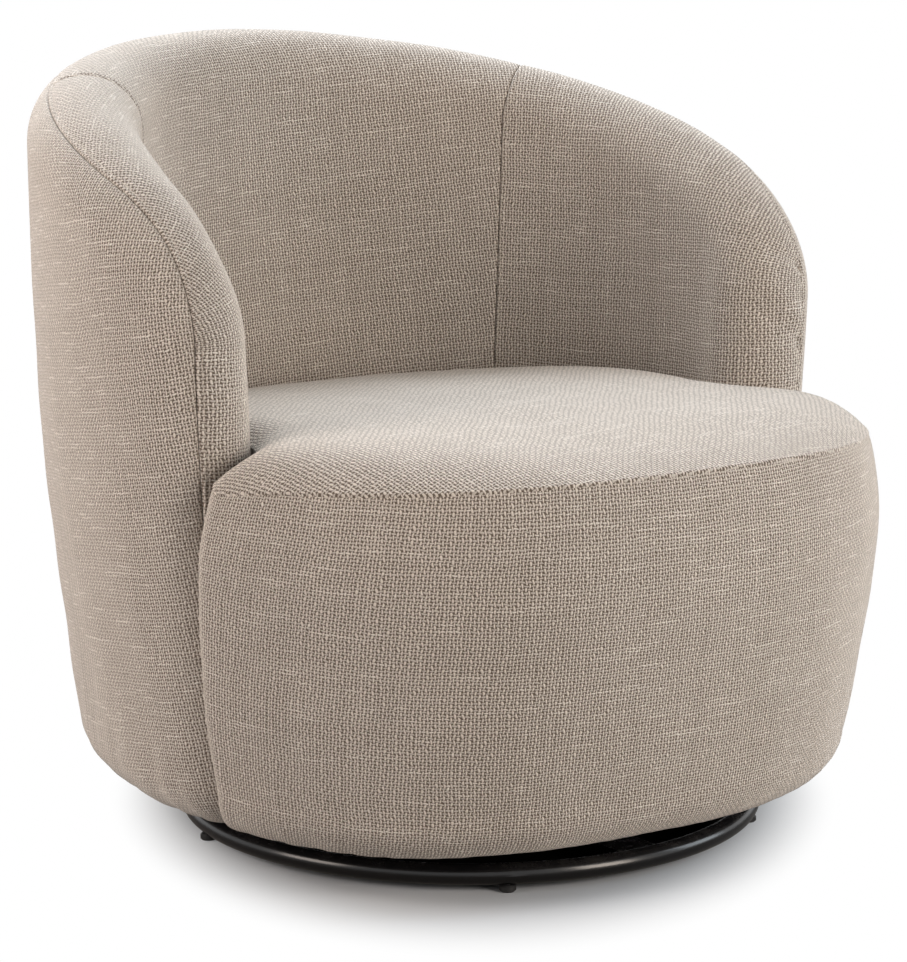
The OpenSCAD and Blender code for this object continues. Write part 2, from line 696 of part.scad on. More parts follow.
module ball_cage() {
    color("silver")
    on_axis() difference() {
        translate([0, 0, ball_z - cage_t / 2]) difference() {
            cylinder(r = race_r + lip_w, h = cage_t, $fn = 96);
            translate([0, 0, -over])
                cylinder(r = race_r - lip_w, h = cage_t + 2 * over, $fn = 96);
        }
        around(ball_count, race_r)
            translate([0, 0, ball_z - cage_t])
                cylinder(d = ball_d + 4 * ball_play, h = 2 * cage_t);
    }
}

module bearing_balls() {
    color("silver")
    on_axis() around(ball_count, race_r)
        translate([0, 0, ball_z]) sphere(d = ball_d, $fn = 32);
}

// The board keeps clear of the covers' hems at the back and at the sides
board_r = min(ring_r, seat_half_w + swell_at(hem_z) - bottom_r - hem_wrap) - board_set_in;
board_hole_r = pin_d * 1.8;

module swivel_board() {
    chamfer = board_t * 0.12;
    color(board_colour)
    on_axis() translate([0, 0, board_z]) difference() {
        rotate_extrude($fn = 128) polygon([
            [board_hole_r, 0], [board_r - chamfer, 0], [board_r, chamfer],
            [board_r, board_t - chamfer], [board_r - chamfer, board_t], [board_hole_r, board_t]]);
        rotate([0, 0, 45]) around(4, bolt_circle_r)
            translate([0, 0, -over]) cylinder(d = bolt_d + 2 * fit_gap, h = board_t + 2 * over);
    }
}

// Timber frame

// Outline of the body's foot, inset from its outer face
function foot_outline(inset) =
    let (front = front_half(knee_z, inset, 0))
    whole_loop(concat(
        [for (i = [0:front_steps - 1]) front[i]],
        [for (i = [0:wall_steps])
            let (p = wall_pt(mix(roll_angle / 2 - post_angle, 0, i / wall_steps), hem_z, half_t - inset))
            [p[0], p[1]]]));

module dust_cloth() {
    color(black_colour)
    translate([0, 0, hem_z - soft_gap - dust_t]) linear_extrude(dust_t) difference() {
        polygon(foot_outline(plate_inset * 1.2));
        translate([0, axis_y]) circle(r = board_r + soft_gap, $fn = 128);
    }
}

module bottom_plate() {
    color(ply_colour)
    translate([0, 0, frame_z]) linear_extrude(ply_t) difference() {
        polygon(foot_outline(plate_inset));
        translate([0, axis_y]) circle(r = board_hole_r, $fn = 96);
    }
}

// Spring opening of the deck, as far in from the bent panel and the wall as the timber is wide
panel_a = seat_half_w + swell_at(knee_z) - plate_inset;
panel_b = seat_reach + swell_at(knee_z) - plate_inset;
deck_r = mid_r - lean(deck_z) + rib_in;
opening_w = 2 * min(deck_r - deck_side_w, panel_a - deck_corner_w);
opening_front_y = seat_y - panel_b + deck_front_w;
opening_back_y = barrel_y + back_share * deck_r - deck_back_w;
opening_d = opening_back_y - opening_front_y;
opening_y = (opening_front_y + opening_back_y) / 2;
module at_opening() {
    translate([0, opening_y, 0]) children();
}

// Shares of a post's side by which it stands beside the opening and behind its end
post_beside = 0.2;
post_behind = 0.7;

module deck_posts() {
    post_x = opening_w / 2 + deck_post_w * post_beside;
    post_y = opening_d / 2 - deck_post_w * post_behind;
    color(ply_colour)
    at_opening() translate([0, 0, plate_top_z])
        for (x = [-1, 1], y = [-1, 1])
            translate([x * post_x - deck_post_w / 2, y * post_y - deck_post_w / 2, 0])
                cube([deck_post_w, deck_post_w, deck_z - plate_top_z]);
}

// Plan of the bent front panel and of the deck's front edge
function panel_half(inset) =
    let (front = front_half(knee_z, plate_inset + inset, 0))
    [for (i = [0:front_steps - 1]) front[i]];

module seat_deck() {
    wall_edge = [for (i = [0:wall_steps])
        let (p = wall_pt(-mix(post_angle, 0, i / wall_steps), deck_z, rib_in - fit_gap))
        [p[0], p[1]]];
    color(ply_colour)
    difference() {
        translate([0, 0, deck_z]) linear_extrude(ply_t) difference() {
            polygon(whole_loop(concat(panel_half(0), wall_edge)));
            at_opening() hull()
                for (x = [-1, 1], y = [-1, 1])
                    translate([x * (opening_w / 2 - opening_r), y * (opening_d / 2 - opening_r)])
                        circle(r = opening_r, $fn = 32);
        }
        for (side = [-1, 1])
            rib_slot(side * arm_post_angle);
    }
}

module front_panel() {
    color(ply_colour)
    translate([0, 0, plate_top_z]) linear_extrude(deck_z - plate_top_z)
        polygon(concat(whole_arc(panel_half(0)), reversed(whole_arc(panel_half(front_panel_t)))));
}

// Upright rib whose edges follow the lean of the wall, drawn in the plane through the axis
rib_steps = 8;
arm_post_angle = arm_end_angle - (rail_inset + rib_t / 2) / deg_mm;
rail_under = [for (c = rail_columns)
    let (inset = rail_inset + ply_t)
    [c[0] + c[2] * inset / deg_mm, c[1] + c[3] * inset]];
function rib_top(s) =
    let (half = rib_t / 2 / deg_mm)
    min(lookup(s - half, rail_under), lookup(s + half, rail_under)) - fit_gap;
module rib_plane(s) {
    depth = cos(s) > 0 ? back_share : 1;
    translate([0, barrel_y, 0]) rotate([0, 0, atan2(depth * cos(s), sin(s))])
        rotate([90, 0, 0]) children();
}
module rib(s, top_z) {
    reach = norm([sin(s), cos(s) * (cos(s) > 0 ? back_share : 1)]);
    edge = [for (i = [0:rib_steps]) mix(plate_top_z, top_z, i / rib_steps)];
    rib_plane(s) linear_extrude(rib_t, center = true) polygon(concat(
        [for (z = edge) [reach * (mid_r - lean(z) + rib_out_face), z]],
        [for (z = reversed(edge)) [reach * (mid_r - lean(z) + rib_in_face), z]]));
}
module rib_slot(s) {
    rib_plane(s) translate([mid_r - wall_t, deck_z - over, -rib_t / 2 - fit_gap])
        cube([2 * wall_t, ply_t + 2 * over, rib_t + 2 * fit_gap]);
}

module wall_ribs() {
    rib_spacing = panel_seam_angle / 2;
    color(ply_colour)
    for (i = [-3:3])
        rib(i * rib_spacing, rib_top(i * rib_spacing));
}

module arm_posts() {
    color(ply_colour)
    for (side = [-1, 1])
        rib(side * arm_post_angle, arm_corner_h - fit_gap);
}

module top_rail() {
    color(ply_colour)
    stack([for (c = rail_columns) rail_ring(c)]);
}

module inner_liner() {
    cols = all_columns(inner_foot_z);
    feet = all_feet();
    off = rib_in - soft_gap;
    color(liner_colour)
    skin(liner_rows(cols, feet, tuck_z, off - liner_t), liner_rows(cols, feet, tuck_z, off));
}

module outer_liner() {
    cols = all_columns(outer_foot_z);
    feet = all_feet();
    off = rib_out + soft_gap + bend_room;
    color(liner_colour)
    skin(liner_rows(cols, feet, knee_z, off), liner_rows(cols, feet, knee_z, off + liner_t));
}

// Seat suspension

spring_bends = 2 * ceil((opening_d + 2 * spring_bearing) / (4 * spring_bend_r));
spring_half = spring_bends * spring_bend_r;
// One zigzag spring along Y, centred, with its wire in the plane z = 0
module zigzag_spring() {
    for (i = [0:spring_bends])
        translate([-spring_run / 2, -spring_half + 2 * spring_bend_r * i, 0])
            rotate([0, 90, 0]) cylinder(d = spring_wire, h = spring_run, $fn = 24);
    for (i = [0:spring_bends - 1])
        let (side = i % 2 == 0 ? 1 : -1)
        translate([side * spring_run / 2, -spring_half + spring_bend_r * (2 * i + 1), 0])
            rotate([0, 0, -90 * side]) rotate_extrude(angle = 180, $fn = 48)
                translate([spring_bend_r, 0]) circle(d = spring_wire, $fn = 24);
}

spring_count = 1 + floor((opening_w - 2 * spring_edge) / spring_pitch);
module across_springs() {
    for (i = [0:spring_count - 1])
        translate([(i - (spring_count - 1) / 2) * spring_pitch, opening_y, 0]) children();
}

module zigzag_springs() {
    color(steel_colour)
    across_springs() translate([0, 0, spring_z]) zigzag_spring();
}

module spring_clips() {
    tail = spring_bend_r * 0.8;
    color(steel_colour)
    across_springs() for (side = [-1, 1])
        translate([-clip_w / 2, side * spring_half, spring_z])
            rotate([90, 0, 90]) linear_extrude(clip_w) {
                difference() {
                    circle(r = clip_out_r, $fn = 32);
                    circle(r = clip_in_r, $fn = 32);
                }
                translate([side > 0 ? 0 : -clip_out_r - tail, -clip_out_r])
                    square([clip_out_r + tail, clip_t]);
            }
}

module spring_felt() {
    half_w = opening_w / 2 + felt_margin;
    half_d = spring_half + felt_margin;
    corner = felt_corner;
    color("gray")
    at_opening() translate([0, 0, felt_z]) linear_extrude(felt_t) polygon([
        [-half_w, corner - half_d], [corner - half_w, -half_d], [half_w - corner, -half_d],
        [half_w, corner - half_d], [half_w, half_d - corner], [half_w - corner, half_d],
        [corner - half_w, half_d], [-half_w, half_d - corner]]);
}

// Padding

module seat_foam() {
    d = cloth_t + 2 * soft_gap;
    color(foam_colour)
    stack(concat(
        [for (share = seat_ring_shares) seat_ring(share, d)],
        [for (share = upper_row_shares)
            let (loop = seat_loop(side_nominal_z(share), d))
            [for (i = [0:len(loop) - 1])
                [loop[i][0], loop[i][1], side_z(edge_loop_z[i] - side_start, share)]]]), seat_mid);
}

// Inner outline of the front padding: along the bent panel, then short of the ear's centre
function padded_half(z, d) =
    let (front = front_half(z, d, d), last = front_steps + ear_steps,
        panel = front_half(knee_z, plate_inset - soft_gap, 0),
        e = mix(front[front_steps], front[last], 0.5))
    [for (i = [0:last]) i < front_steps ? panel[i] : mix(front[i], e, padded_ear_share)];
padded_ear_share = 0.6;

module front_foam() {
    d = cloth_t + soft_gap;
    a = 90 / turn_steps;
    rows = concat(
        [[foam_z - soft_gap, whole_arc(front_half(foam_z, d, d)), foam_z]],
        [for (share = lower_row_shares)
            let (z = side_nominal_z(share))
            [z, whole_arc(front_half(z, d, d)), z]],
        [[knee_z - (bottom_r - d) * sin(a), turned_arc(d, a), knee_z]]);
    color(foam_colour)
    skin([for (r = rows) [for (p = r[1]) [p[0], p[1], r[0]]]],
        [for (r = rows) [for (p = whole_arc(padded_half(r[2], d))) [p[0], p[1], r[0]]]]);
}

module arm_skin(d, inner_d) {
    cols = arm_columns(inner_foot_z, panel_seam_angle + panel_gap_angle);
    feet = arm_feet(len(cols), panel_seam_angle + panel_gap_angle);
    skin(inner_rows(cols, feet, d), inner_rows(cols, feet, inner_d));
}

module arm_foam() {
    cols = arm_columns(inner_foot_z, panel_seam_angle + panel_gap_angle);
    feet = arm_feet(len(cols), panel_seam_angle + panel_gap_angle);
    skin(inner_rows(cols, feet, cloth_t + soft_gap), core_rows(cols, feet));
}

module right_arm_foam() {
    color(foam_colour) arm_foam();
}

module left_arm_foam() {
    color(foam_colour) mirror([1, 0, 0]) arm_foam();
}

module back_foam() {
    cols = back_columns(panel_seam_angle - panel_gap_angle);
    feet = [for (c = cols) c[0]];
    color(foam_colour)
    skin(inner_rows(cols, feet, cloth_t + soft_gap), core_rows(cols, feet));
}

module outer_wadding() {
    cols = all_columns(outer_foot_z);
    feet = all_feet();
    d = cloth_t + soft_gap;
    color(wadding_colour)
    skin(outer_rows(cols, feet, d + wadding_t, 1), outer_rows(cols, feet, d, 1));
}

// Covers

module right_arm_cover() {
    color(fabric_colour) arm_skin(0, cloth_t);
}

module left_arm_cover() {
    color(fabric_colour) mirror([1, 0, 0]) arm_skin(0, cloth_t);
}

module back_cover() {
    cols = back_columns(panel_seam_angle - panel_gap_angle);
    feet = [for (c = cols) c[0]];
    color(fabric_colour)
    skin(inner_rows(cols, feet, 0), inner_rows(cols, feet, cloth_t));
}

module outer_cover() {
    cols = all_columns(outer_foot_z);
    feet = all_feet();
    color(fabric_colour)
    skin(concat(outer_rows(cols, feet, cloth_t, turn_steps), hem_row(feet, cloth_t)),
        concat(outer_rows(cols, feet, 0, turn_steps), hem_row(feet, 0)));
}

module seat_top_cover() {
    color(fabric_colour)
    stack(concat([for (share = seat_ring_shares) seat_ring(share, 0)],
        [for (share = reversed(seat_ring_shares)) seat_ring(share, cloth_t)]), seat_mid,
        len(seat_ring_shares));
}

// Plan of the seat front where its bottom edge has turned in by angle a
function turned_arc(d, a) =
    let (in = bottom_r - (bottom_r - d) * cos(a), finished_in = bottom_r * (1 - cos(a)))
    whole_arc(front_half(knee_z, in, in - 2 * finished_in));
// Rows of the seat front at depth d: the side, the turned-in edge and the hem below the frame
function front_rows(d) =
    let (top = [for (z = front_arc_z) z - side_start])
    concat(
        [for (share = concat([0], upper_row_shares))
            let (arc = whole_arc(front_half(side_nominal_z(share), d, d)))
            [for (i = [0:len(arc) - 1]) [arc[i][0], arc[i][1], side_z(top[i], share)]]],
        [for (share = lower_row_shares)
            let (z = side_nominal_z(share))
            [for (p = whole_arc(front_half(z, d, d))) [p[0], p[1], z]]],
        [for (i = [1:turn_steps])
            [for (p = turned_arc(d, 90 * i / turn_steps))
                [p[0], p[1], knee_z - (bottom_r - d) * sin(90 * i / turn_steps)]]],
        [[for (p = turned_arc(d, 90))
            let (q = p + hem_wrap * unit(seat_mid - p))
            [q[0], q[1], hem_z + d]]]);

module seat_front_cover() {
    color(fabric_colour)
    skin(front_rows(0), front_rows(cloth_t));
}

base_ring();
crossed_bars();
glides();
lower_race_plate();
lower_plate_bolts();
centre_pin();
pin_washer();
pin_nut();
ball_cage();
bearing_balls();
upper_race_plate();
upper_plate_bolts();
swivel_board();
dust_cloth();
bottom_plate();
deck_posts();
seat_deck();
front_panel();
wall_ribs();
arm_posts();
top_rail();
inner_liner();
outer_liner();
zigzag_springs();
spring_clips();
spring_felt();
seat_foam();
front_foam();
back_foam();
left_arm_foam();
right_arm_foam();
outer_wadding();
back_cover();
left_arm_cover();
right_arm_cover();
outer_cover();
seat_top_cover();
seat_front_cover();
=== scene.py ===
"""Looks of an upholstered swivel barrel armchair, dressed over its CAD frame.

The formulas work in millimetres and degrees, in the frame of the CAD source: the floor is at
height zero, +Z is up, the sitter faces -Y and the sitter's right is -X. Meshes are made in metres.
Each padded panel is a closed piece: a fine grid for its cloth, a coarse grid for its underside
and a rim of faces between the two.
"""

import logging
from collections.abc import Callable, Sequence
from dataclasses import dataclass
from enum import Enum

import bpy
import numpy as np
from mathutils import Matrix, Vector


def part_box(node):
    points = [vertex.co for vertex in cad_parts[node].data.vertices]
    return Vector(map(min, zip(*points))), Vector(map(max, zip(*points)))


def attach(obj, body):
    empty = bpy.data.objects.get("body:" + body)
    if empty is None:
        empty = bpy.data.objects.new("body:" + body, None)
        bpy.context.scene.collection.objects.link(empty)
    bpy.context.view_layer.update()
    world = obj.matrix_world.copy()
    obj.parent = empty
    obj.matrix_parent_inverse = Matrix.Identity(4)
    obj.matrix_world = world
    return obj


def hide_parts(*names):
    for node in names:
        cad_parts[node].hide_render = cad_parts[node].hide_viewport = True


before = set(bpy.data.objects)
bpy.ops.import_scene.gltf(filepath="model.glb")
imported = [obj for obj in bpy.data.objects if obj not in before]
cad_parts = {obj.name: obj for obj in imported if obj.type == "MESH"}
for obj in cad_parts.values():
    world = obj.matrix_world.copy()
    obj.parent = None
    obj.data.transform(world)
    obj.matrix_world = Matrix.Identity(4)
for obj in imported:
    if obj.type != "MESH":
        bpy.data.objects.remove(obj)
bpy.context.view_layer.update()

Array = np.ndarray
Number = float | np.ndarray
# Points with their places on the flat cloth, or with their outward normals
Pair = tuple[Array, Array]
Colour = tuple[float, float, float]
Point = tuple[float, float, float]
Object = bpy.types.Object
Material = bpy.types.Material
Tree = bpy.types.NodeTree
Socket = bpy.types.NodeSocket
# What a socket can be given: another socket, or its constant
Value = Socket | float | Sequence[float]

LOG = logging.getLogger("armchair")
BODY = "upholstered_body"
CLOTH_SLOT = "cover_cloth"
CLOTH_MAP = "cloth"
MM = 0.001
# Turns the sitter's right side into the left
MIRROR = np.array([-1.0, 1.0, 1.0])


@dataclass(frozen=True)
class Sizes:
    """Driving sizes of the armchair in millimetres and degrees, as the CAD source has them."""

    barrel_r: float = 385.0
    barrel_back_r: float = 443.0
    barrel_y: float = -40.0
    wall_t: float = 102.0
    back_h: float = 733.0
    arm_corner_h: float = 473.0
    arm_end_angle: float = 107.4
    top_sweep_power: float = 1.8
    top_rise_power: float = 2.0
    wall_taper: float = 45.0
    taper_power: float = 2.4
    plumb_h: float = 80.0
    bottom_r: float = 42.0
    panel_seam_angle: float = 48.0
    panel_top_angle: float = 51.0
    panel_foot_angle: float = 47.0
    edge_seam_angle: float = 39.5
    edge_seam_lift: float = 14.0
    edge_lift_sweep: float = 24.0
    edge_lift_width: float = 13.0
    seat_half_w: float = 362.0
    seat_reach: float = 353.0
    seat_y: float = -41.0
    seat_power: float = 2.5
    seam_h: float = 364.0
    seam_rise: float = 9.0
    crown_h: float = 399.0
    fan_share: float = 0.40
    crown_power: float = 3.6
    crown_side_power: float = 18.0
    back_fall: float = 40.0
    wall_roll: float = 16.0
    wall_roll_w: float = 15.0
    wall_roll_power: float = 1.4
    front_swell: float = 9.0
    swell_share: float = 0.22
    front_taper: float = 36.0
    front_taper_power: float = 1.6
    ear_top_r: float = 26.0
    ear_foot_r: float = 15.0
    ear_drop: float = 10.0
    ear_drop_at: float = 20.0
    ear_drop_w: float = 60.0
    cloth_t: float = 2.0
    wadding_t: float = 9.0
    soft_gap: float = 0.3
    seam_gap: float = 0.5
    hem_z: float = 44.05
    hem_wrap_share: float = 0.6
    outer_foot_z: float = 120.05
    inner_foot_z: float = 314.0
    tuck_z: float = 300.0
    foam_z: float = 265.6
    felt_t: float = 4.0
    inner_foam_off: float = -11.3
    core_r: float = 38.2
    board_r: float = 250.0
    axis_y: float = -57.0

    @property
    def half_t(self) -> float:
        """Half of the wall's thickness."""
        return self.wall_t / 2

    @property
    def mid_r(self) -> float:
        """Radius of the middle of the wall at the arms."""
        return self.barrel_r - self.half_t

    @property
    def degree(self) -> float:
        """Length of one degree of side angle along the middle of the wall."""
        return self.mid_r * np.pi / 180

    @property
    def back_share(self) -> float:
        """Depth of the barrel's back as a multiple of its radius at the arms."""
        return self.barrel_back_r / self.barrel_r

    @property
    def post_angle(self) -> float:
        """Side angle of the centre of the rounded arm front."""
        return self.arm_end_angle - self.half_t / self.degree

    @property
    def knee_z(self) -> float:
        """Height at which the covers start to turn in below the body."""
        return self.hem_z + self.bottom_r

    @property
    def hem_wrap(self) -> float:
        """Width of the cover that runs in below the frame."""
        return self.bottom_r * self.hem_wrap_share

    @property
    def seat_mid_y(self) -> float:
        """Place along Y of the point from which the seat's columns fan out."""
        return self.seat_y - self.seat_reach * self.fan_share


SIZES = Sizes()


@dataclass(frozen=True)
class Sewing:
    """Sizes of the seams in millimetres."""

    tuck: float = 1.5
    tuck_run: float = 0.8
    crease: float = 0.9
    crease_run: float = 8.0
    band_rise: float = 0.55
    band_w: float = 5.0
    band_ramp: float = 1.6
    band_lap: float = 1.2
    dip: float = 0.45
    dip_w: float = 0.7
    stitch_at: float = 6.0
    stitch_pitch: float = 4.6
    stitch_len: float = 3.2
    thread_r: float = 0.34
    pucker: float = 0.10
    pucker_run: float = 13.0
    pucker_pitch: float = 19.0


SEWING = Sewing()

# Distances from a seam at which a panel has rows or columns, close together where the cloth bends
SEAM_PLACES = np.array(
    [0.0, 0.5, 1.0, 1.7, 2.5, 3.5, 4.6, 5.4, 6.0, 6.5, 7.0, 7.8, 9.2, 11.5, 15.0])
# Number of fine cells along one side of a coarse cell on the underside of a panel
COARSE = 4


def mix(a: Number, b: Number, f: Number) -> Number:
    """Value a share f of the way from a to b."""
    return a + (b - a) * f


def held(f: Number) -> Number:
    """Value kept between 0 and 1."""
    return np.clip(f, 0.0, 1.0)


def eased(f: Number) -> Number:
    """Smooth step of a share, held between 0 and 1."""
    c = held(f)
    return c * c * (3 - 2 * c)


def ramp(v: Number, start: float, run: float) -> Number:
    """Smooth step that rises from a start over a run."""
    return eased((v - start) / run)


def far_from(t: Array, reach: float) -> Array:
    """Share that rises from 0 at a seam to 1 well past a reach."""
    return 1 - np.exp(-t / reach)


def drifting(run: Array, pitch: float, drift: float, drift_pitch: float) -> Array:
    """Wave along a run, whose phase drifts to and fro so that its folds come unevenly."""
    return np.sin(2 * np.pi * run / pitch + drift * np.sin(2 * np.pi * run / drift_pitch))


def sin_d(a: Number) -> Number:
    """Sine of an angle in degrees."""
    return np.sin(np.radians(a))


def cos_d(a: Number) -> Number:
    """Cosine of an angle in degrees."""
    return np.cos(np.radians(a))


def unit(v: Array) -> Array:
    """Vectors of length one, along the last axis."""
    return v / np.maximum(np.linalg.norm(v, axis=-1, keepdims=True), 1e-9)


def steps_of(v: Array, *grids: Array) -> Array:
    """Grid that takes its first part where v is up to 1, its second up to 2, and so on."""
    tests = [(v <= k + 1)[..., None] for k in range(len(grids) - 1)]
    return np.select(tests, grids[:-1], grids[-1])


def run_length(points: Array, axis: int) -> Array:
    """Distance along the lines of a grid of points, from its first point.

    Args:
        points: Grid of points, with the coordinates last.
        axis: Axis of the grid along which the line runs.

    Returns:
        The distance at each point.
    """
    step = np.linalg.norm(np.diff(points, axis=axis), axis=-1)
    start = np.zeros_like(np.take(step, [0], axis=axis))
    return np.concatenate([start, np.cumsum(step, axis=axis)], axis=axis)


def placed(length: float, pitch: float, seam_at_start: bool, seam_at_end: bool) -> Array:
    """Places along a line, close together beside its seams.

    Args:
        length: Length of the line.
        pitch: Largest distance between two places.
        seam_at_start: Whether a seam runs across the start.
        seam_at_end: Whether a seam runs across the end.

    Returns:
        The places, whose number of steps is a multiple of COARSE.
    """
    head = SEAM_PLACES if seam_at_start else np.zeros(1)
    tail = length - SEAM_PLACES[::-1] if seam_at_end else np.array([length])
    room = tail[0] - head[-1]
    steps = max(1, int(np.ceil(room / pitch)))
    while (len(head) + len(tail) + steps - 2) % COARSE:
        steps += 1
    middle = np.linspace(head[-1], tail[0], steps + 1)[1:-1]
    return np.concatenate([head, middle, tail])


def numbered(first: Array, *counts: int) -> Array:
    """Rows of a panel: those of its first part, then even steps for each further part."""
    more = [np.linspace(k, k + 1, count + 1)[1:] for k, count in enumerate(counts, start=1)]
    return np.concatenate([first, *more])


@dataclass(frozen=True)
class Column:
    """Places on the top line of the wall, and the inward directions there."""

    angle: Number
    z: Number
    inward_angle: Number
    inward_z: Number

    def inset(self, length: Number) -> tuple[Number, Number]:
        """Side angles and heights a length further in from the top line."""
        return (self.angle + self.inward_angle * length / SIZES.degree,
                self.z + self.inward_z * length)

    def face(self, foot_angle: Number, foot_z: float, f: Number) -> tuple[Number, Number]:
        """Side angles and heights at a share f of the way from the roll to a foot."""
        angle, z = self.inset(SIZES.half_t)
        return mix(angle, foot_angle, f), mix(z, foot_z, f)

    def flat_roll(self, b: Number) -> tuple[Number, Number]:
        """Side angles and heights at a roll angle towards a face, once the cloth is laid flat."""
        return self.inset(SIZES.half_t * (1 - np.radians(90 - b)))


class Wall:
    """Shape of the barrel wall, by side angle, height and distance out from mid-thickness."""

    def __init__(self, sizes: Sizes) -> None:
        """Works out the tables of the distances round the wall and along its edge.

        Args:
            sizes: Sizes of the armchair.
        """
        self.sizes = sizes
        angles = np.linspace(-180.0, 180.0, 1441)
        run = run_length(self.point(angles, sizes.back_h, 0.0), 0)
        self._angles = angles
        self._turns = (run - np.interp(0.0, angles, run)) / sizes.mid_r
        low = sizes.arm_corner_h - sizes.knee_z
        self._sweep = np.concatenate([
            np.linspace(-low, 0, 200, endpoint=False), np.linspace(0, 180, 1440),
            np.linspace(180, 180 + low, 201)[1:]])
        column = self.column(self._sweep)
        self._edge_run = run_length(self.roll(column, sizes.half_t, -self.seam_at(self._sweep)), 0)

    def lean(self, z: Number) -> Number:
        """Distance by which the wall stands in at a height."""
        s = self.sizes
        span = s.back_h - s.plumb_h
        share = np.maximum(0.0, (span - z) / (span - s.hem_z))
        return s.wall_taper * share**s.taper_power

    def point(self, angle: Number, z: Number, off: Number) -> Array:
        """Point of the wall.

        Args:
            angle: Side angle in degrees.
            z: Height.
            off: Distance out from mid-thickness.

        Returns:
            The points, with their coordinates last.
        """
        s = self.sizes
        angle, z, off = np.broadcast_arrays(angle, z, off)
        r = s.mid_r - self.lean(z) + off
        depth = np.where(cos_d(angle) > 0, s.back_share, 1.0)
        return np.stack([r * sin_d(angle), s.barrel_y + r * depth * cos_d(angle), z], axis=-1)

    def column(self, q: Array) -> Column:
        """Columns at places along the edge.

        From 0 to 180 a place sweeps over the sloping top, and below and above that it runs down
        the upright arm fronts in millimetres.

        Args:
            q: The places.

        Returns:
            The columns.
        """
        s = self.sizes
        sweep = np.clip(q, 0.0, 180.0)
        c = cos_d(sweep)
        angle = -s.arm_end_angle * np.sign(c) * np.abs(c) ** (2 / s.top_sweep_power)
        rise = s.back_h - s.arm_corner_h
        up = np.maximum(0.0, sin_d(sweep)) ** (2 / s.top_rise_power)
        z = s.arm_corner_h + rise * up
        power = s.top_sweep_power
        across = np.sign(angle) / s.arm_end_angle / s.degree * power
        across = across * (np.abs(angle) / s.arm_end_angle) ** (power - 1)
        ahead = s.top_rise_power / rise * up ** (s.top_rise_power - 1)
        grade = unit(np.stack([across, ahead], axis=-1))
        low = np.minimum(q, 0.0) - np.maximum(q - 180.0, 0.0)
        return Column(angle, z + low, -grade[..., 0], -grade[..., 1])

    def seam_at(self, q: Number) -> Number:
        """Roll angle of the edge seam, which rises towards the crest over the arm's shoulder."""
        s = self.sizes
        half = np.where(q <= 90, q, 180 - q)
        lift = np.exp(-(((half - s.edge_lift_sweep) / s.edge_lift_width) ** 2))
        return s.edge_seam_angle - s.edge_seam_lift * lift

    def sweep_of(self, angle: float) -> float:
        """Sweep along the top line at which it reaches a side angle."""
        s = self.sizes
        return float(np.degrees(np.arccos((angle / s.arm_end_angle) ** (s.top_sweep_power / 2))))

    def roll(self, column: Column, r: Number, b: Number) -> Array:
        """Point on the rounded edge, from -90 on the outer face to 90 on the inner face.

        Args:
            column: The columns.
            r: Radius of the roll.
            b: Roll angle.

        Returns:
            The points.
        """
        angle, z = column.inset(self.sizes.half_t - r * cos_d(b))
        return self.point(angle, z, -r * sin_d(b))

    def flat(self, angle: Array, z: Array, off: float, middle: float = 0.0,
             slope: float = 0.08) -> Array:
        """Place on the cloth, laid flat as the skin of a cone that narrows towards the floor.

        Args:
            angle: Side angle.
            z: Height.
            off: Distance of the cloth out from mid-thickness.
            middle: Side angle at which the cloth's grain is upright.
            slope: Slope of the cone.

        Returns:
            Places across and up the cloth.
        """
        s = self.sizes
        r = s.mid_r + off
        turn = np.interp(angle, self._angles, self._turns)
        turn = (turn - np.interp(middle, self._angles, self._turns)) * slope
        reach = r / slope + z
        return np.stack([reach * np.sin(turn), reach * np.cos(turn) - r / slope], axis=-1)

    def edge_run(self, q: float) -> float:
        """Distance along the edge at a place."""
        return float(np.interp(q, self._sweep, self._edge_run))

    def edge_at(self, run: Array) -> Array:
        """Place on the edge at a distance along it."""
        return np.interp(run, self._edge_run, self._sweep)


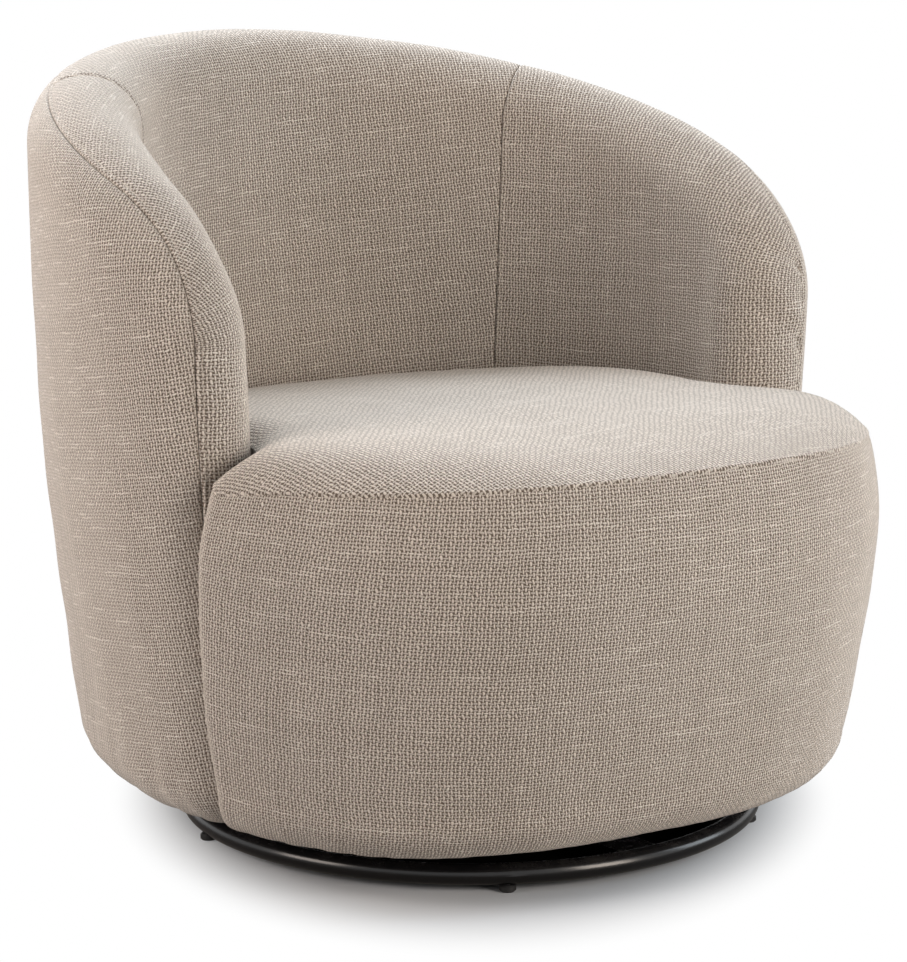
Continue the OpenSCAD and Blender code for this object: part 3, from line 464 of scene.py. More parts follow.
class SeatPlan:
    """Outline of the seat seen from above: front, rolled corners, and the line along the wall.

    Places along half of the outline are numbers: 0 at the middle of the front, EAR where the
    corner starts, TOUCH where it meets the arm end, CAP where the line leaves the arm end and
    BACK at the middle of the back. Negative numbers are the sitter's left half.
    """

    EAR = 9.0
    TOUCH = 13.0
    CAP = 17.0
    BACK = 25.0

    def __init__(self, sizes: Sizes, wall: Wall) -> None:
        """Takes the sizes and the wall that the seat fits, and measures its outline."""
        self.sizes = sizes
        self.wall = wall
        self._places = np.linspace(0, self.BACK, 4001)
        self._run = run_length(self.loop(self._places, sizes.seam_h, 0.0, 0.0)[0], 0)

    def run(self, i: Number) -> Number:
        """Distance along the outline from the middle of the front."""
        return np.interp(np.abs(i), self._places, self._run)

    def spread(self, stop: float, pitch: float) -> Array:
        """Places at even distances from the middle of the front, in a multiple of COARSE steps.

        Args:
            stop: Last place.
            pitch: Usual distance between two places.

        Returns:
            The places.
        """
        length = self.run(stop)
        steps = COARSE * max(1, int(round(length / pitch / COARSE)))
        return np.interp(np.linspace(0, length, steps + 1), self._run, self._places)

    def swell(self, z: Array) -> Array:
        """Distance by which the front stands out, or in, at a height.

        It rises as a quarter sine to its widest place and tapers off below it as a power.

        Args:
            z: Heights.

        Returns:
            The distances.
        """
        s = self.sizes
        q = (s.seam_h - z) / (s.seam_h - s.hem_z)
        out = s.front_swell * sin_d(90 * np.clip(q / s.swell_share, 0, 1))
        back = np.maximum(0.0, (q - s.swell_share) / (1 - s.swell_share))
        return out - s.front_taper * back**s.front_taper_power

    def _plan(self, a: Array, b: Array, psi: Array) -> Array:
        """Point of a superellipse with the half lengths a and b, at an angle from the front."""
        s = self.sizes
        return np.stack([
            -a * sin_d(psi) ** (2 / s.seat_power),
            s.seat_y - b * cos_d(psi) ** (2 / s.seat_power)], axis=-1)

    def _inward(self, a: Array, b: Array, psi: Array) -> Array:
        """Inward normal of that superellipse."""
        s = self.sizes
        p = self._plan(a, b, psi)
        return unit(np.stack([
            (-p[..., 0] / a) ** (s.seat_power - 1) / a,
            ((s.seat_y - p[..., 1]) / b) ** (s.seat_power - 1) / b], axis=-1))

    def loop(self, i: Array, z: Number, inset: Number, d: Number) -> Array:
        """Plan of the outline.

        Args:
            i: Places along the outline, one for each column.
            z: Heights, one for each row.
            inset: Distance of the curve inside the finished front, for each row.
            d: Depth below the finished face, for each row.

        Returns:
            Grid of plan points, rows first.
        """
        s = self.sizes
        z, inset, d = (np.atleast_1d(np.asarray(v, float))[:, None] for v in (z, inset, d))
        z, inset, d = np.broadcast_arrays(z, inset, d)
        side = np.where(i < 0, -1.0, 1.0)[None, :, None]
        i = np.abs(i)[None, :]
        a = s.seat_half_w + self.swell(z) - inset
        b = s.seat_reach + self.swell(z) - inset
        centre = self.wall.point(-s.post_angle, z, 0.0)[..., :2]
        ear_r = self.ear_r(z)
        psi = self._corner(a, b, centre, s.half_t + s.soft_gap + d, ear_r)
        inward = self._inward(a, b, psi)
        e = self._plan(a, b, psi) + ear_r[..., None] * inward
        front = self._plan(a, b, psi * held(i / self.EAR))
        start = self._angle(-inward) % 360
        stop = self._angle(centre - e) % 360
        w = mix(start, stop, held((i - self.EAR) / (self.TOUCH - self.EAR)))
        ear = self._round(e, ear_r, w)
        r = s.half_t + 2 * s.soft_gap + d
        start = self._angle(self._round(e, ear_r, stop) - centre)
        stop = self._angle(self.wall.point(-s.post_angle, z, -r)[..., :2] - centre)
        w = mix(start, stop, held((i - self.TOUCH) / (self.CAP - self.TOUCH)))
        cap = self._round(centre, r, w)
        along = held((i - self.CAP) / (self.BACK - self.CAP))
        back = self.wall.point(-s.post_angle * (1 - along), z, -r)[..., :2]
        tests = [(i <= stop)[..., None] for stop in (self.EAR, self.TOUCH, self.CAP)]
        plan = np.select(tests, [front, ear, cap], back)
        return np.concatenate([plan[..., :1] * side, plan[..., 1:]], axis=-1)

    def ear_r(self, z: Array) -> Array:
        """Radius of the rolled corner at a height, smaller towards the foot."""
        s = self.sizes
        return mix(s.ear_foot_r, s.ear_top_r, eased((z - s.knee_z) / (s.seam_h - s.knee_z)))

    def _corner(self, a: Array, b: Array, centre: Array, reach: Array, ear_r: Array) -> Array:
        """Angle at which the corner's arc leaves the front, found by halving.

        Args:
            a: Half width of the front's superellipse.
            b: Its reach forwards.
            centre: Centre of the arm's rounded end.
            reach: Radius about that centre which the arc touches.
            ear_r: Radius of the arc.

        Returns:
            The angles.
        """
        low, high = np.full_like(a, 45.0), np.full_like(a, 89.9)
        for _ in range(30):
            mid = (low + high) / 2
            e = self._plan(a, b, mid) + ear_r[..., None] * self._inward(a, b, mid)
            far = np.linalg.norm(e - centre, axis=-1) > reach + ear_r
            low, high = np.where(far, mid, low), np.where(far, high, mid)
        return (low + high) / 2

    @staticmethod
    def _angle(v: Array) -> Array:
        """Angle of a plan vector in degrees."""
        return np.degrees(np.arctan2(v[..., 1], v[..., 0]))

    @staticmethod
    def _round(centre: Array, r: Array, w: Array) -> Array:
        """Plan point on a circle at an angle."""
        return centre + r[..., None] * np.stack([cos_d(w), sin_d(w)], axis=-1)

    def top(self, i: Array, share: Array) -> Array:
        """Points of the crowned seat top.

        Args:
            i: Signed places along the outline, one for each column.
            share: Shares of the way from the crown's middle to the outline, one for each row.

        Returns:
            Grid of points, rows first.
        """
        s = self.sizes
        ring = self.loop(i, s.seam_h, 0.0, 0.0)[0]
        f = share[:, None]
        x, y = ring[None, :, 0] * f, mix(s.seat_mid_y, ring[None, :, 1], f)
        j = np.abs(i)[None, :]
        rise = np.where(j > self.EAR, 0.0, s.seam_rise * cos_d(90 * j / self.EAR) ** 2)
        z = self.crown(x, y) + rise * f**2 - self._fall(x, y)
        return np.stack([x, y, z], axis=-1)

    def edge_z(self, i: Array) -> Array:
        """Height of the seat's seam along the outline."""
        return self.top(i, np.ones(1))[0, :, 2]

    def crown(self, x: Array, y: Array) -> Array:
        """Height of the crowned top before its edge is shaped.

        It falls as a power of the share of the way to the front's superellipse. The power is
        higher towards the sides, and behind the middle the top falls as a square.

        Args:
            x: Places across.
            y: Places along.

        Returns:
            The heights.
        """
        s = self.sizes
        across = (np.abs(x) / s.seat_half_w) ** s.seat_power
        ahead = (np.maximum(0.0, s.seat_y - y) / s.seat_reach) ** s.seat_power
        behind = np.maximum(0.0, y - s.seat_y) / (s.back_share * s.mid_r)
        reach = across + ahead
        power = mix(s.crown_power, s.crown_side_power, across / np.maximum(reach, 1e-6))
        fall = (s.crown_h - s.seam_h) * reach ** (power / s.seat_power)
        return s.crown_h - fall - s.back_fall * behind**2

    def _fall(self, x: Array, y: Array) -> Array:
        """Depth by which the top rolls down beside the wall, and drops at the corners.

        Args:
            x: Places across.
            y: Places along.

        Returns:
            The depths.
        """
        s = self.sizes
        centre = self.wall.point(s.post_angle, s.seam_h, 0.0)
        across, behind = np.abs(x), y - s.barrel_y
        to_arm = np.hypot(across - centre[0], y - centre[1]) - s.half_t
        reach = np.hypot(across, behind / np.where(behind > 0, s.back_share, 1.0))
        to_wall = s.mid_r - self.wall.lean(s.seam_h) - s.half_t - reach
        inside = np.degrees(np.arctan2(across, behind)) < s.post_angle
        gap = np.maximum(0.0, np.where(inside, to_wall, to_arm))
        to_ear = np.hypot(across - centre[0] - s.ear_drop_at, y - centre[1] + s.half_t)
        rolled = s.wall_roll * np.exp(-((gap / s.wall_roll_w) ** s.wall_roll_power))
        return rolled + s.ear_drop * np.exp(-((to_ear / s.ear_drop_w) ** 2))


WALL = Wall(SIZES)
PLAN = SeatPlan(SIZES, WALL)


@dataclass
class Patch:
    """Grid of cloth: its points and its places on the flat cloth."""

    points: Array
    flats: Array

    def normals(self) -> Array:
        """Unit normals, from the central differences along rows and columns."""
        down = np.gradient(self.points, axis=0)
        along = np.gradient(self.points, axis=1)
        return unit(np.cross(along, down))

    def rows_run(self) -> Array:
        """Distance down each column from the first row."""
        return run_length(self.points, 0)

    def columns_run(self) -> Array:
        """Distance along each row from the first column."""
        return run_length(self.points, 1)

    def facing(self, heart: Array) -> Array:
        """Normals turned away from points inside the piece.

        Args:
            heart: One point, or one for each point of the grid.

        Returns:
            The normals.
        """
        n = self.normals()
        away = np.sum(n * (self.points - heart), axis=-1, keepdims=True)
        return n * (np.sign(np.median(away)) or 1.0)

    def raised(self, height: Array, heart: Array) -> "Patch":
        """The patch with its points moved away from the points inside by a height."""
        return Patch(self.points + self.facing(heart) * height[..., None], self.flats)

    def mirrored(self) -> "Patch":
        """The patch on the other side of the chair."""
        return Patch(self.points * MIRROR, self.flats)


class Waves:
    """Smooth random heights over the flat cloth, from a few seeded cosines."""

    def __init__(self, seed: int, shortest: float, longest: float, count: int = 14) -> None:
        """Draws the lengths, directions and phases of the waves.

        Args:
            seed: Seed of the draws.
            shortest: Length of the shortest wave.
            longest: Length of the longest wave.
            count: Number of waves.
        """
        rng = np.random.default_rng(seed)
        length = np.exp(rng.uniform(np.log(shortest), np.log(longest), count))
        turn = rng.uniform(0, 2 * np.pi, count)
        self.waves = 2 * np.pi / length[:, None] * np.stack([np.cos(turn), np.sin(turn)], axis=1)
        self.phases = rng.uniform(0, 2 * np.pi, count)
        self.sizes = np.sqrt(length / longest) / np.sqrt(count / 2)

    def __call__(self, flats: Array) -> Array:
        """Height at each place, about one at most."""
        return np.einsum("k,...k->...", self.sizes, np.cos(flats @ self.waves.T + self.phases))


def spun(flats: Array, turn: float) -> Array:
    """Places on the flat cloth with its grain turned to the left by an angle in degrees."""
    return flats @ np.array([[cos_d(turn), -sin_d(turn)], [sin_d(turn), cos_d(turn)]])


def seam_profile(t: Array, band: bool, sewn: bool = True) -> Array:
    """Height of the cloth beside a seam.

    The cloth tucks in at the seam. On the side of the stitched band the turned-in cloth below
    raises it, and the line of stitches draws it down again.

    Args:
        t: Distance from the seam.
        band: Whether this side has the raised band.
        sewn: Whether a line of stitches draws the band down.

    Returns:
        The height.
    """
    w = SEWING
    height = -w.tuck * np.exp(-t / w.tuck_run) - w.crease * np.exp(-t / w.crease_run)
    if band:
        rise = eased(t / w.band_ramp) * (1 - eased((t - w.band_w + w.band_lap) / w.band_ramp))
        dip = np.exp(-(((t - w.stitch_at) / w.dip_w) ** 2))
        height = height + w.band_rise * rise - w.dip * dip * sewn
    return height


def puckers(t: Array, along: Array, seed: int, size: float = 1.0) -> Array:
    """Small uneven folds that run out of a seam.

    Args:
        t: Distance from the seam.
        along: Distance along it.
        seed: Seed of the unevenness.
        size: Multiple of the usual size.

    Returns:
        The height.
    """
    w = SEWING
    rng = np.random.default_rng(seed)
    height = np.zeros_like(t)
    for share in (0.55, 1.0, 1.7):
        slow, slower = w.pucker_pitch * 5.1 * share, w.pucker_pitch * 7.3 * share
        drift = 1.6 * np.sin(2 * np.pi * along / slower + rng.uniform(0, 6))
        swell = 0.55 + 0.45 * np.sin(2 * np.pi * along / slow + rng.uniform(0, 6))
        height = height + swell * np.sin(2 * np.pi * along / (w.pucker_pitch * share) + drift)
    fade = np.exp(-t / w.pucker_run) * far_from(t, 1.5)
    return size * w.pucker * height * fade


def quads(index: Array, closed: bool = False) -> Array:
    """Four-sided faces between the neighbours of a grid of point numbers.

    Args:
        index: Point numbers, with rows and columns as the last two axes.
        closed: Whether each row closes on itself.

    Returns:
        The faces, one in a row.
    """
    here = index if closed else index[..., :-1]
    after = np.roll(index, -1, axis=-1) if closed else index[..., 1:]
    corners = [here[..., :-1, :], after[..., :-1, :], after[..., 1:, :], here[..., 1:, :]]
    return np.stack([c.ravel() for c in corners], axis=1)


def border(index: Array) -> Array:
    """Point numbers round the edge of a grid, in order."""
    return np.concatenate([index[0, :-1], index[:-1, -1], index[-1, :0:-1], index[:0:-1, 0]])


def loft(outer: Patch, inner: Array) -> tuple[Array, Sequence[Array], Array]:
    """Closed piece with a fine grid of cloth outside, a coarse grid inside and a rim between.

    Args:
        outer: The cloth.
        inner: Points of the underside.

    Returns:
        Points, groups of faces, and places on the flat cloth.
    """
    (rows, columns), (m, n) = outer.points.shape[:2], inner.shape[:2]
    fine = np.arange(rows * columns).reshape(rows, columns)
    coarse = rows * columns + np.arange(m * n).reshape(m, n)
    outside, inside = border(fine), border(coarse)
    steps = np.arange(len(inside))[:, None] * COARSE + np.arange(COARSE, -1, -1)
    rim = [outside[steps % len(outside)], inside[:, None], np.roll(inside, -1)[:, None]]
    faces = [quads(fine), quads(coarse)[:, ::-1], np.concatenate(rim, axis=1)]
    points = [outer.points.reshape(-1, 3), inner.reshape(-1, 3)]
    flats = [outer.flats.reshape(-1, 2), outer.flats[::COARSE, ::COARSE].reshape(-1, 2)]
    return np.concatenate(points), faces, np.concatenate(flats)


def signed_volume(points: Array, faces: Sequence[Array]) -> float:
    """Volume inside a closed piece, negative where its faces point inwards."""
    fans = [(g[:, 0], g[:, k], g[:, k + 1]) for g in faces for k in range(1, g.shape[1] - 1)]
    return sum(np.sum(points[a] * np.cross(points[b], points[c])) for a, b, c in fans) / 6


def make_piece(
    name: str, points: Array, faces: Sequence[Array], material: Material,
    flats: Array | None = None, sharp_angle: float = 50.0,
) -> Object:
    """Object with its place in its mesh.

    Args:
        name: Name of the piece.
        points: Points in millimetres.
        faces: Groups of faces, each an array with one face in a row.
        material: Finish of the piece.
        flats: Places on the flat cloth in millimetres, one for each point.
        sharp_angle: Angle past which an edge isn't smoothed.

    Returns:
        The object, linked to the scene.
    """
    if signed_volume(points, faces) < 0:
        faces = [group[:, ::-1] for group in faces]
    loops = np.concatenate([group.ravel() for group in faces]).astype(np.int32)
    sides = np.concatenate([np.full(len(group), group.shape[1]) for group in faces])
    starts = np.concatenate([[0], np.cumsum(sides)[:-1]]).astype(np.int32)
    mesh = bpy.data.meshes.new(name)
    mesh.vertices.add(len(points))
    mesh.vertices.foreach_set("co", (points * MM).astype(np.float32).ravel())
    mesh.loops.add(len(loops))
    mesh.loops.foreach_set("vertex_index", loops)
    mesh.polygons.add(len(starts))
    mesh.polygons.foreach_set("loop_start", starts)
    mesh.polygons.foreach_set("use_smooth", np.ones(len(starts), dtype=bool))
    mesh.update(calc_edges=True)
    mesh.validate()
    if flats is not None:
        layer = mesh.uv_layers.new(name=CLOTH_MAP)
        layer.data.foreach_set("uv", (flats[loops] * MM).astype(np.float32).ravel())
    mesh.set_sharp_from_angle(angle=np.radians(sharp_angle))
    mesh.materials.append(material)
    piece = bpy.data.objects.new(name, mesh)
    bpy.context.scene.collection.objects.link(piece)
    LOG.info("piece %s: %d points, %d faces", name, len(points), len(sides))
    return piece


def make_pad(
    name: str, shape: tuple[Array, Sequence[Array], Array], cloth: Material,
    nodes: Sequence[str],
) -> Object:
    """Padded cover of the turning body.

    Args:
        name: Name of the piece.
        shape: Its points, groups of faces and places on the flat cloth.
        cloth: Its cloth.
        nodes: Nodes of the frame that it stands for.

    Returns:
        The piece.
    """
    points, faces, flats = shape
    piece = make_piece(name, points, faces, cloth, flats)
    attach(piece, BODY)
    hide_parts(*nodes)
    return piece


class Side(Enum):
    """Side of the sitter, by its sign along X."""

    RIGHT = -1
    LEFT = 1


@dataclass(frozen=True)
class Fold:
    """Fold or ridge between two places on the rolled edge, each given by sweep and roll angle."""

    ends: tuple[tuple[float, float], tuple[float, float]]
    height: float
    width: float

    def relief(self, points: Array) -> Array:
        """Height that the fold adds, a bell across it that grows from its first end to its last.

        Args:
            points: Points of the cloth.

        Returns:
            The heights.
        """
        first, last = (WALL.roll(WALL.column(np.array([q])), SIZES.half_t, b)[0]
                       for q, b in self.ends)
        way = last - first
        share = held((points - first) @ way / (way @ way))
        apart = np.linalg.norm(points - first - share[..., None] * way, axis=-1)
        return self.height * (0.6 + 0.4 * share) * np.exp(-((apart / self.width) ** 2))


@dataclass(frozen=True)
class Pulls:
    """Low folds where the cloth is drawn in under the frame, between two rows of a panel."""

    height: float
    # Pitch, drift and pitch of the drift of the main folds and of the smaller ones between them
    main: tuple[float, float, float]
    minor: tuple[float, float, float]
    # Rows at which the folds start to rise and to fade, and over how many rows they do
    rise: tuple[float, float]
    fade: tuple[float, float]

    def relief(self, run: Array, v: Array) -> Array:
        """Height that the folds add.

        Args:
            run: Distance along the rows.
            v: Rows, as a column.

        Returns:
            The heights.
        """
        share = ramp(v, *self.rise) * (1 - ramp(v, *self.fade))
        return self.height * (drifting(run, *self.main) + 0.6 * drifting(run, *self.minor)) * share


FOOT_PULLS = Pulls(0.45, (41, 1.7, 233), (23, 2.1, 171), (1.72, 0.35), (2.75, 0.3))
CORNER_PULLS = Pulls(0.5, (31, 1.5, 210), (17.5, 2.0, 160), (0.62, 0.5), (1.75, 0.3))
ARM_FOLDS = (
    Fold(((11.5, 6.0), (7.5, -33.0)), -4.4, 4.4),
    Fold(((-8.0, 22.0), (-43.5, -33.0)), -3.2, 7.5),
    Fold(((4.0, 12.0), (-18.0, -30.0)), 2.6, 10.0),
)


@dataclass(frozen=True)
class WallPanels:
    """Covers of the wall: the outer panel, the back and the two arms.

    Rows of every panel are numbers: 0 to 1 on the roll and to 2 on the face, and on the outer
    panel to 3 on the turned edge and to 4 below the frame.
    """

    cloth: Material
    column_pitch: float = 4.5
    roll_pitch: float = 5.0
    outer_face_rows: int = 68
    inner_face_rows: int = 48
    turn_rows: int = 22
    hem_rows: int = 4
    cap_columns: int = 12
    outer_heart_z: float = 300.0
    back_heart_z: float = 640.0
    arm_heart_z: float = 560.0
    arm_grain: float = -80.0
    back_turn: float = 5.0
    outer_sway: float = 0.9
    inner_sway: float = 1.1
    # Distance from a seam within which the cloth hardly sways
    outer_calm: float = 60.0
    inner_calm: float = 50.0
    core_edge_share: float = 3 / 7
    # Places across the corner below the edge's first column: its outermost column, where its roll
    # would reach the seam, and where its foot would reach the knee
    cap_first: float = 3.2
    cap_roll: float = 3.3
    cap_knee: float = 4.0
    cap_wrap: float = 5.0
    # Rows at which the wadding ends and the relief fades, each with the rows over which it does
    wadding_end: tuple[float, float] = (1.7, 0.3)
    relief_end: tuple[float, float] = (2.6, 0.4)
    fill: float = 0.95

    @property
    def edge_gap(self) -> float:
        """Gap at the edge seam as a roll angle."""
        return float(np.degrees(SIZES.seam_gap / SIZES.half_t))

    @property
    def roll_turn(self) -> float:
        """Usual roll angle from the edge seam to the outer face."""
        return 90 - SIZES.edge_seam_angle + SIZES.edge_seam_lift / 2

    @property
    def side_gap(self) -> float:
        """Half of the gap at an upright seam as a side angle."""
        return SIZES.seam_gap / 2 / SIZES.degree

    def _pad(self, name: str, outer: Patch, inner: Array, nodes: Sequence[str]) -> Object:
        """Piece of a panel, from its cloth and its underside."""
        return make_pad(name, loft(outer, inner), self.cloth, nodes)

    @staticmethod
    def _fanned(q: Array, low: float, seam: float) -> Array:
        """Share of the way round an arm's foot, with a third of it for the upright front."""
        return np.where(q < 0, (1 + q / low) / 3, 1 / 3 + held(q / seam) * 2 / 3)

    def _outer_feet(self, q: Array) -> Array:
        """Side angle of the foot of each column of the outer panel.

        Args:
            q: Places along the edge.

        Returns:
            The angles.
        """
        s = SIZES
        seam = WALL.sweep_of(s.panel_seam_angle)
        half = np.where(q <= 90, q, 180 - q)
        share = self._fanned(half, s.arm_corner_h - s.outer_foot_z, seam)
        fanned = -mix(s.post_angle, s.panel_seam_angle, share) * np.where(q <= 90, 1, -1)
        return np.where(half < seam, fanned, WALL.column(q).angle)

    def _outer_grid(self, q: Array, d: Array, rows: Array) -> Pair:
        """Points of the outer panel and its places on the flat cloth.

        Args:
            q: Places along the edge.
            d: Depth below the finished face, one for each row.
            rows: Rows.

        Returns:
            Grids of points and of flat places.
        """
        s = SIZES
        column = WALL.column(q[None, :])
        feet = self._outer_feet(q)[None, :]
        v, d = rows[:, None], d[:, None]
        b = mix(-WALL.seam_at(q)[None, :], -90.0, held(v))
        angle, z = column.face(feet, s.knee_z, held(v - 1))
        a = 90 * held(v - 2)
        turn_r, off = s.bottom_r - d, s.half_t - s.bottom_r
        wrap = s.hem_wrap * held(v - 3)
        points = steps_of(
            v, WALL.roll(column, s.half_t - d, b), WALL.point(angle, z, s.half_t - d),
            WALL.point(feet, s.knee_z - turn_r * sin_d(a), off + turn_r * cos_d(a)),
            WALL.point(feet, s.hem_z + d, off - wrap))
        flat_angle, flat_z = column.flat_roll(-b)
        under = s.bottom_r * np.radians(a) + wrap
        flat_angle = np.where(v <= 1, flat_angle, angle)
        flat_z = np.where(v <= 1, flat_z, z - under)
        return points, WALL.flat(flat_angle, flat_z, s.half_t)

    def _cap_grid(self, k: Array, d: Array, rows: Array) -> Pair:
        """The outer panel's corner below the first column of its edge.

        Args:
            k: Columns: 0 at that first column, rising towards the front seam.
            d: Depth below the finished face, one for each row.
            rows: Rows.

        Returns:
            Grids of points and of flat places.
        """
        s = SIZES
        k, v, d = k[None, :], rows[:, None], d[:, None]
        turn_r, off = s.bottom_r - d, s.half_t - s.bottom_r
        seam_b = -float(WALL.seam_at(s.outer_foot_z - s.arm_corner_h))
        b = mix(seam_b, mix(-90.0, seam_b, k / self.cap_roll), held(v))
        a = 90 * held(v - 2)
        z = mix(mix(s.outer_foot_z, s.knee_z, k / self.cap_knee), s.knee_z, held(v - 1))
        z = np.where(v > 3, s.hem_z + d, z - np.where(v > 2, turn_r * sin_d(a), 0.0))
        radius = np.where(v > 2, off + turn_r * cos_d(a), s.half_t - d)
        radius = np.where(v > 3, mix(off, off / 2, held(v - 3)), radius)
        corner = Column(-s.arm_end_angle, z, 1.0, 0.0)
        under = s.bottom_r * np.radians(a) + held(v - 3) * self.cap_wrap
        flat_z = np.where(v > 2, s.knee_z - under, z)
        flat_angle, _ = corner.flat_roll(-b)
        return WALL.roll(corner, radius, b), WALL.flat(flat_angle, flat_z, s.half_t)

    def _outer_patch(self, depth: Callable[[Array], Array]) -> tuple[Patch, Array]:
        """Outer panel from one front foot to the other.

        Args:
            depth: Gives the depth below the finished face for each row.

        Returns:
            The patch and its rows.
        """
        s = SIZES
        roll_len = s.half_t * np.radians(self.roll_turn)
        roll_rows = placed(roll_len, self.roll_pitch, True, False) / roll_len
        rows = numbered(roll_rows, self.outer_face_rows, self.turn_rows, self.hem_rows)
        low = s.arm_corner_h - s.outer_foot_z
        start, stop = WALL.edge_run(-low), WALL.edge_run(180 + low)
        count = COARSE * int(round((stop - start) / self.column_pitch / COARSE))
        q = WALL.edge_at(np.linspace(start, stop, count + 1))
        k = np.linspace(self.cap_first, 0, self.cap_columns + 1)[:-1]
        d = depth(rows)
        points, flats = self._outer_grid(q, d, rows)
        cap, cap_flats = self._cap_grid(k, d, rows)
        points = np.concatenate([cap, points, cap[:, ::-1] * MIRROR], axis=1)
        flats = np.concatenate([cap_flats, flats, cap_flats[:, ::-1] * MIRROR[:2]], axis=1)
        return Patch(points, flats), rows

    def outer(self) -> Object:
        """Outer panel with its seam, its hang and its turned-in foot.

        Returns:
            The piece.
        """
        s = SIZES
        patch, rows = self._outer_patch(np.zeros_like)
        under = s.cloth_t + s.wadding_t
        inner, _ = self._outer_patch(lambda v: mix(under, s.cloth_t, ramp(v, *self.wadding_end)))
        t = patch.rows_run()
        height = seam_profile(t, band=False)
        height = height + puckers(t, patch.columns_run()[0][None, :] + 0 * t, seed=11)
        height += self.outer_sway * Waves(3, 70, 420)(patch.flats) * far_from(t, self.outer_calm)
        height *= 1 - ramp(rows[:, None], *self.relief_end)
        height += FOOT_PULLS.relief(patch.columns_run()[-1][None, :], rows[:, None])
        done = patch.raised(height, np.array([0.0, s.barrel_y, self.outer_heart_z]))
        core = inner.points[::COARSE, ::COARSE]
        return self._pad("outer_panel", done, core, ["outer_cover", "outer_wadding"])

    def _inner_grid(self, q: Array, feet: Array, rows: Array, grain: float) -> Pair:
        """Points of an inner panel and its places on the flat cloth.

        Args:
            q: Places along the edge.
            feet: Side angle of each column's foot.
            rows: Rows.
            grain: Side angle at which the cloth's grain is upright.

        Returns:
            Grids of points and of flat places.
        """
        s = SIZES
        column, v = WALL.column(q[None, :]), rows[:, None]
        b = mix(self.edge_gap - WALL.seam_at(q)[None, :], 90.0, held(v))
        angle, z = column.face(feet[None, :], s.tuck_z, held(v - 1))
        points = steps_of(v, WALL.roll(column, s.half_t, b), WALL.point(angle, z, -s.half_t))
        flat_angle, flat_z = column.flat_roll(b)
        flat_angle, flat_z = np.where(v <= 1, flat_angle, angle), np.where(v <= 1, flat_z, z)
        return points, WALL.flat(flat_angle, flat_z, -s.half_t, grain, 0.05)

    def _core_grid(self, q: Array, feet: Array, rows: Array) -> Array:
        """Underside of an inner panel's padding: below the wadding, over the rail, down the liner.

        Args:
            q: Places along the edge.
            feet: Side angle of each column's foot.
            rows: Rows.

        Returns:
            Coarse grid of points.
        """
        s = SIZES
        column, v, edge = WALL.column(q[None, :]), rows[:, None], self.core_edge_share
        b = mix(self.edge_gap - WALL.seam_at(q)[None, :], -90.0, held(v / edge))
        angle, z = column.face(feet[None, :], s.tuck_z, held(v - 1))
        off = mix(s.core_r, s.inner_foam_off, held((v - edge) / (1 - edge)))
        flat_top = WALL.point(*column.inset(s.half_t), off)
        face = WALL.point(angle, z, s.inner_foam_off)
        grid = np.select([(v <= edge)[..., None], (v <= 1)[..., None]],
                         [WALL.roll(column, s.core_r, b), flat_top], face)
        return grid[::COARSE, ::COARSE]

    def _inner_rows(self) -> Array:
        """Rows of an inner panel."""
        length = SIZES.half_t * np.radians(180 - self.roll_turn)
        return numbered(
            placed(length, self.roll_pitch, True, False) / length, self.inner_face_rows)

    @staticmethod
    def _stitch_row(done: Patch, outward: Array, t: Array) -> Pair:
        """Line of stitches at its distance from the edge, found along each column.

        Args:
            done: The finished patch.
            outward: Its outward normals.
            t: Distances from the edge.

        Returns:
            Points and normals.
        """
        column = np.arange(t.shape[1])
        row = np.clip(np.argmax(t > SEWING.stitch_at, axis=0), 1, None)
        before, after = t[row - 1, column], t[row, column]
        f = ((SEWING.stitch_at - before) / (after - before))[:, None]
        return mix(done.points[row - 1, column], done.points[row, column], f), outward[row, column]

    def _hang(self, patch: Patch, to_seam: Array, band: bool, seeds: Sequence[int]) -> Array:
        """Relief of an inner panel: its seams, their puckers, and the sway of the cloth between.

        Args:
            patch: The panel.
            to_seam: Distance from its upright seam.
            band: Whether that seam has its stitched band on this side.
            seeds: Seeds of the edge's puckers, the upright seam's puckers and the sway.

        Returns:
            The heights.
        """
        t, run = patch.rows_run(), patch.columns_run()
        height = seam_profile(t, band=True) + puckers(t, run, seed=seeds[0])
        height += seam_profile(to_seam, band=band) + puckers(to_seam, t, seed=seeds[1], size=0.8)
        calm = far_from(t, self.inner_calm) * far_from(to_seam, self.inner_calm)
        return height + self.inner_sway * Waves(seeds[2], 80, 420)(patch.flats) * calm

    def back(self) -> tuple[Object, list[Pair]]:
        """Back panel between the two upright seams.

        Returns:
            The piece, and its lines of stitches.
        """
        top, foot = SIZES.panel_top_angle - self.side_gap, SIZES.panel_foot_angle - self.side_gap
        first = WALL.sweep_of(top)
        start, stop = WALL.edge_run(first), WALL.edge_run(180 - first)
        q = WALL.edge_at(start + placed(stop - start, self.column_pitch, True, True))
        angle = WALL.column(q).angle
        feet = angle * foot / top
        rows = self._inner_rows()
        points, flats = self._inner_grid(q, feet, rows, 0.0)
        patch = Patch(points, spun(flats, self.back_turn))
        run = patch.columns_run()
        height = self._hang(patch, np.minimum(run, run[:, -1:] - run), False, (21, 22, 5))
        heart = WALL.point(angle[None, :], np.minimum(points[..., 2], self.back_heart_z), 0.0)
        done = patch.raised(height, heart)
        core = self._core_grid(q, feet, rows)
        piece = self._pad("back_pad", done, core, ["back_cover", "back_foam"])
        return piece, [self._stitch_row(done, patch.facing(heart), patch.rows_run())]

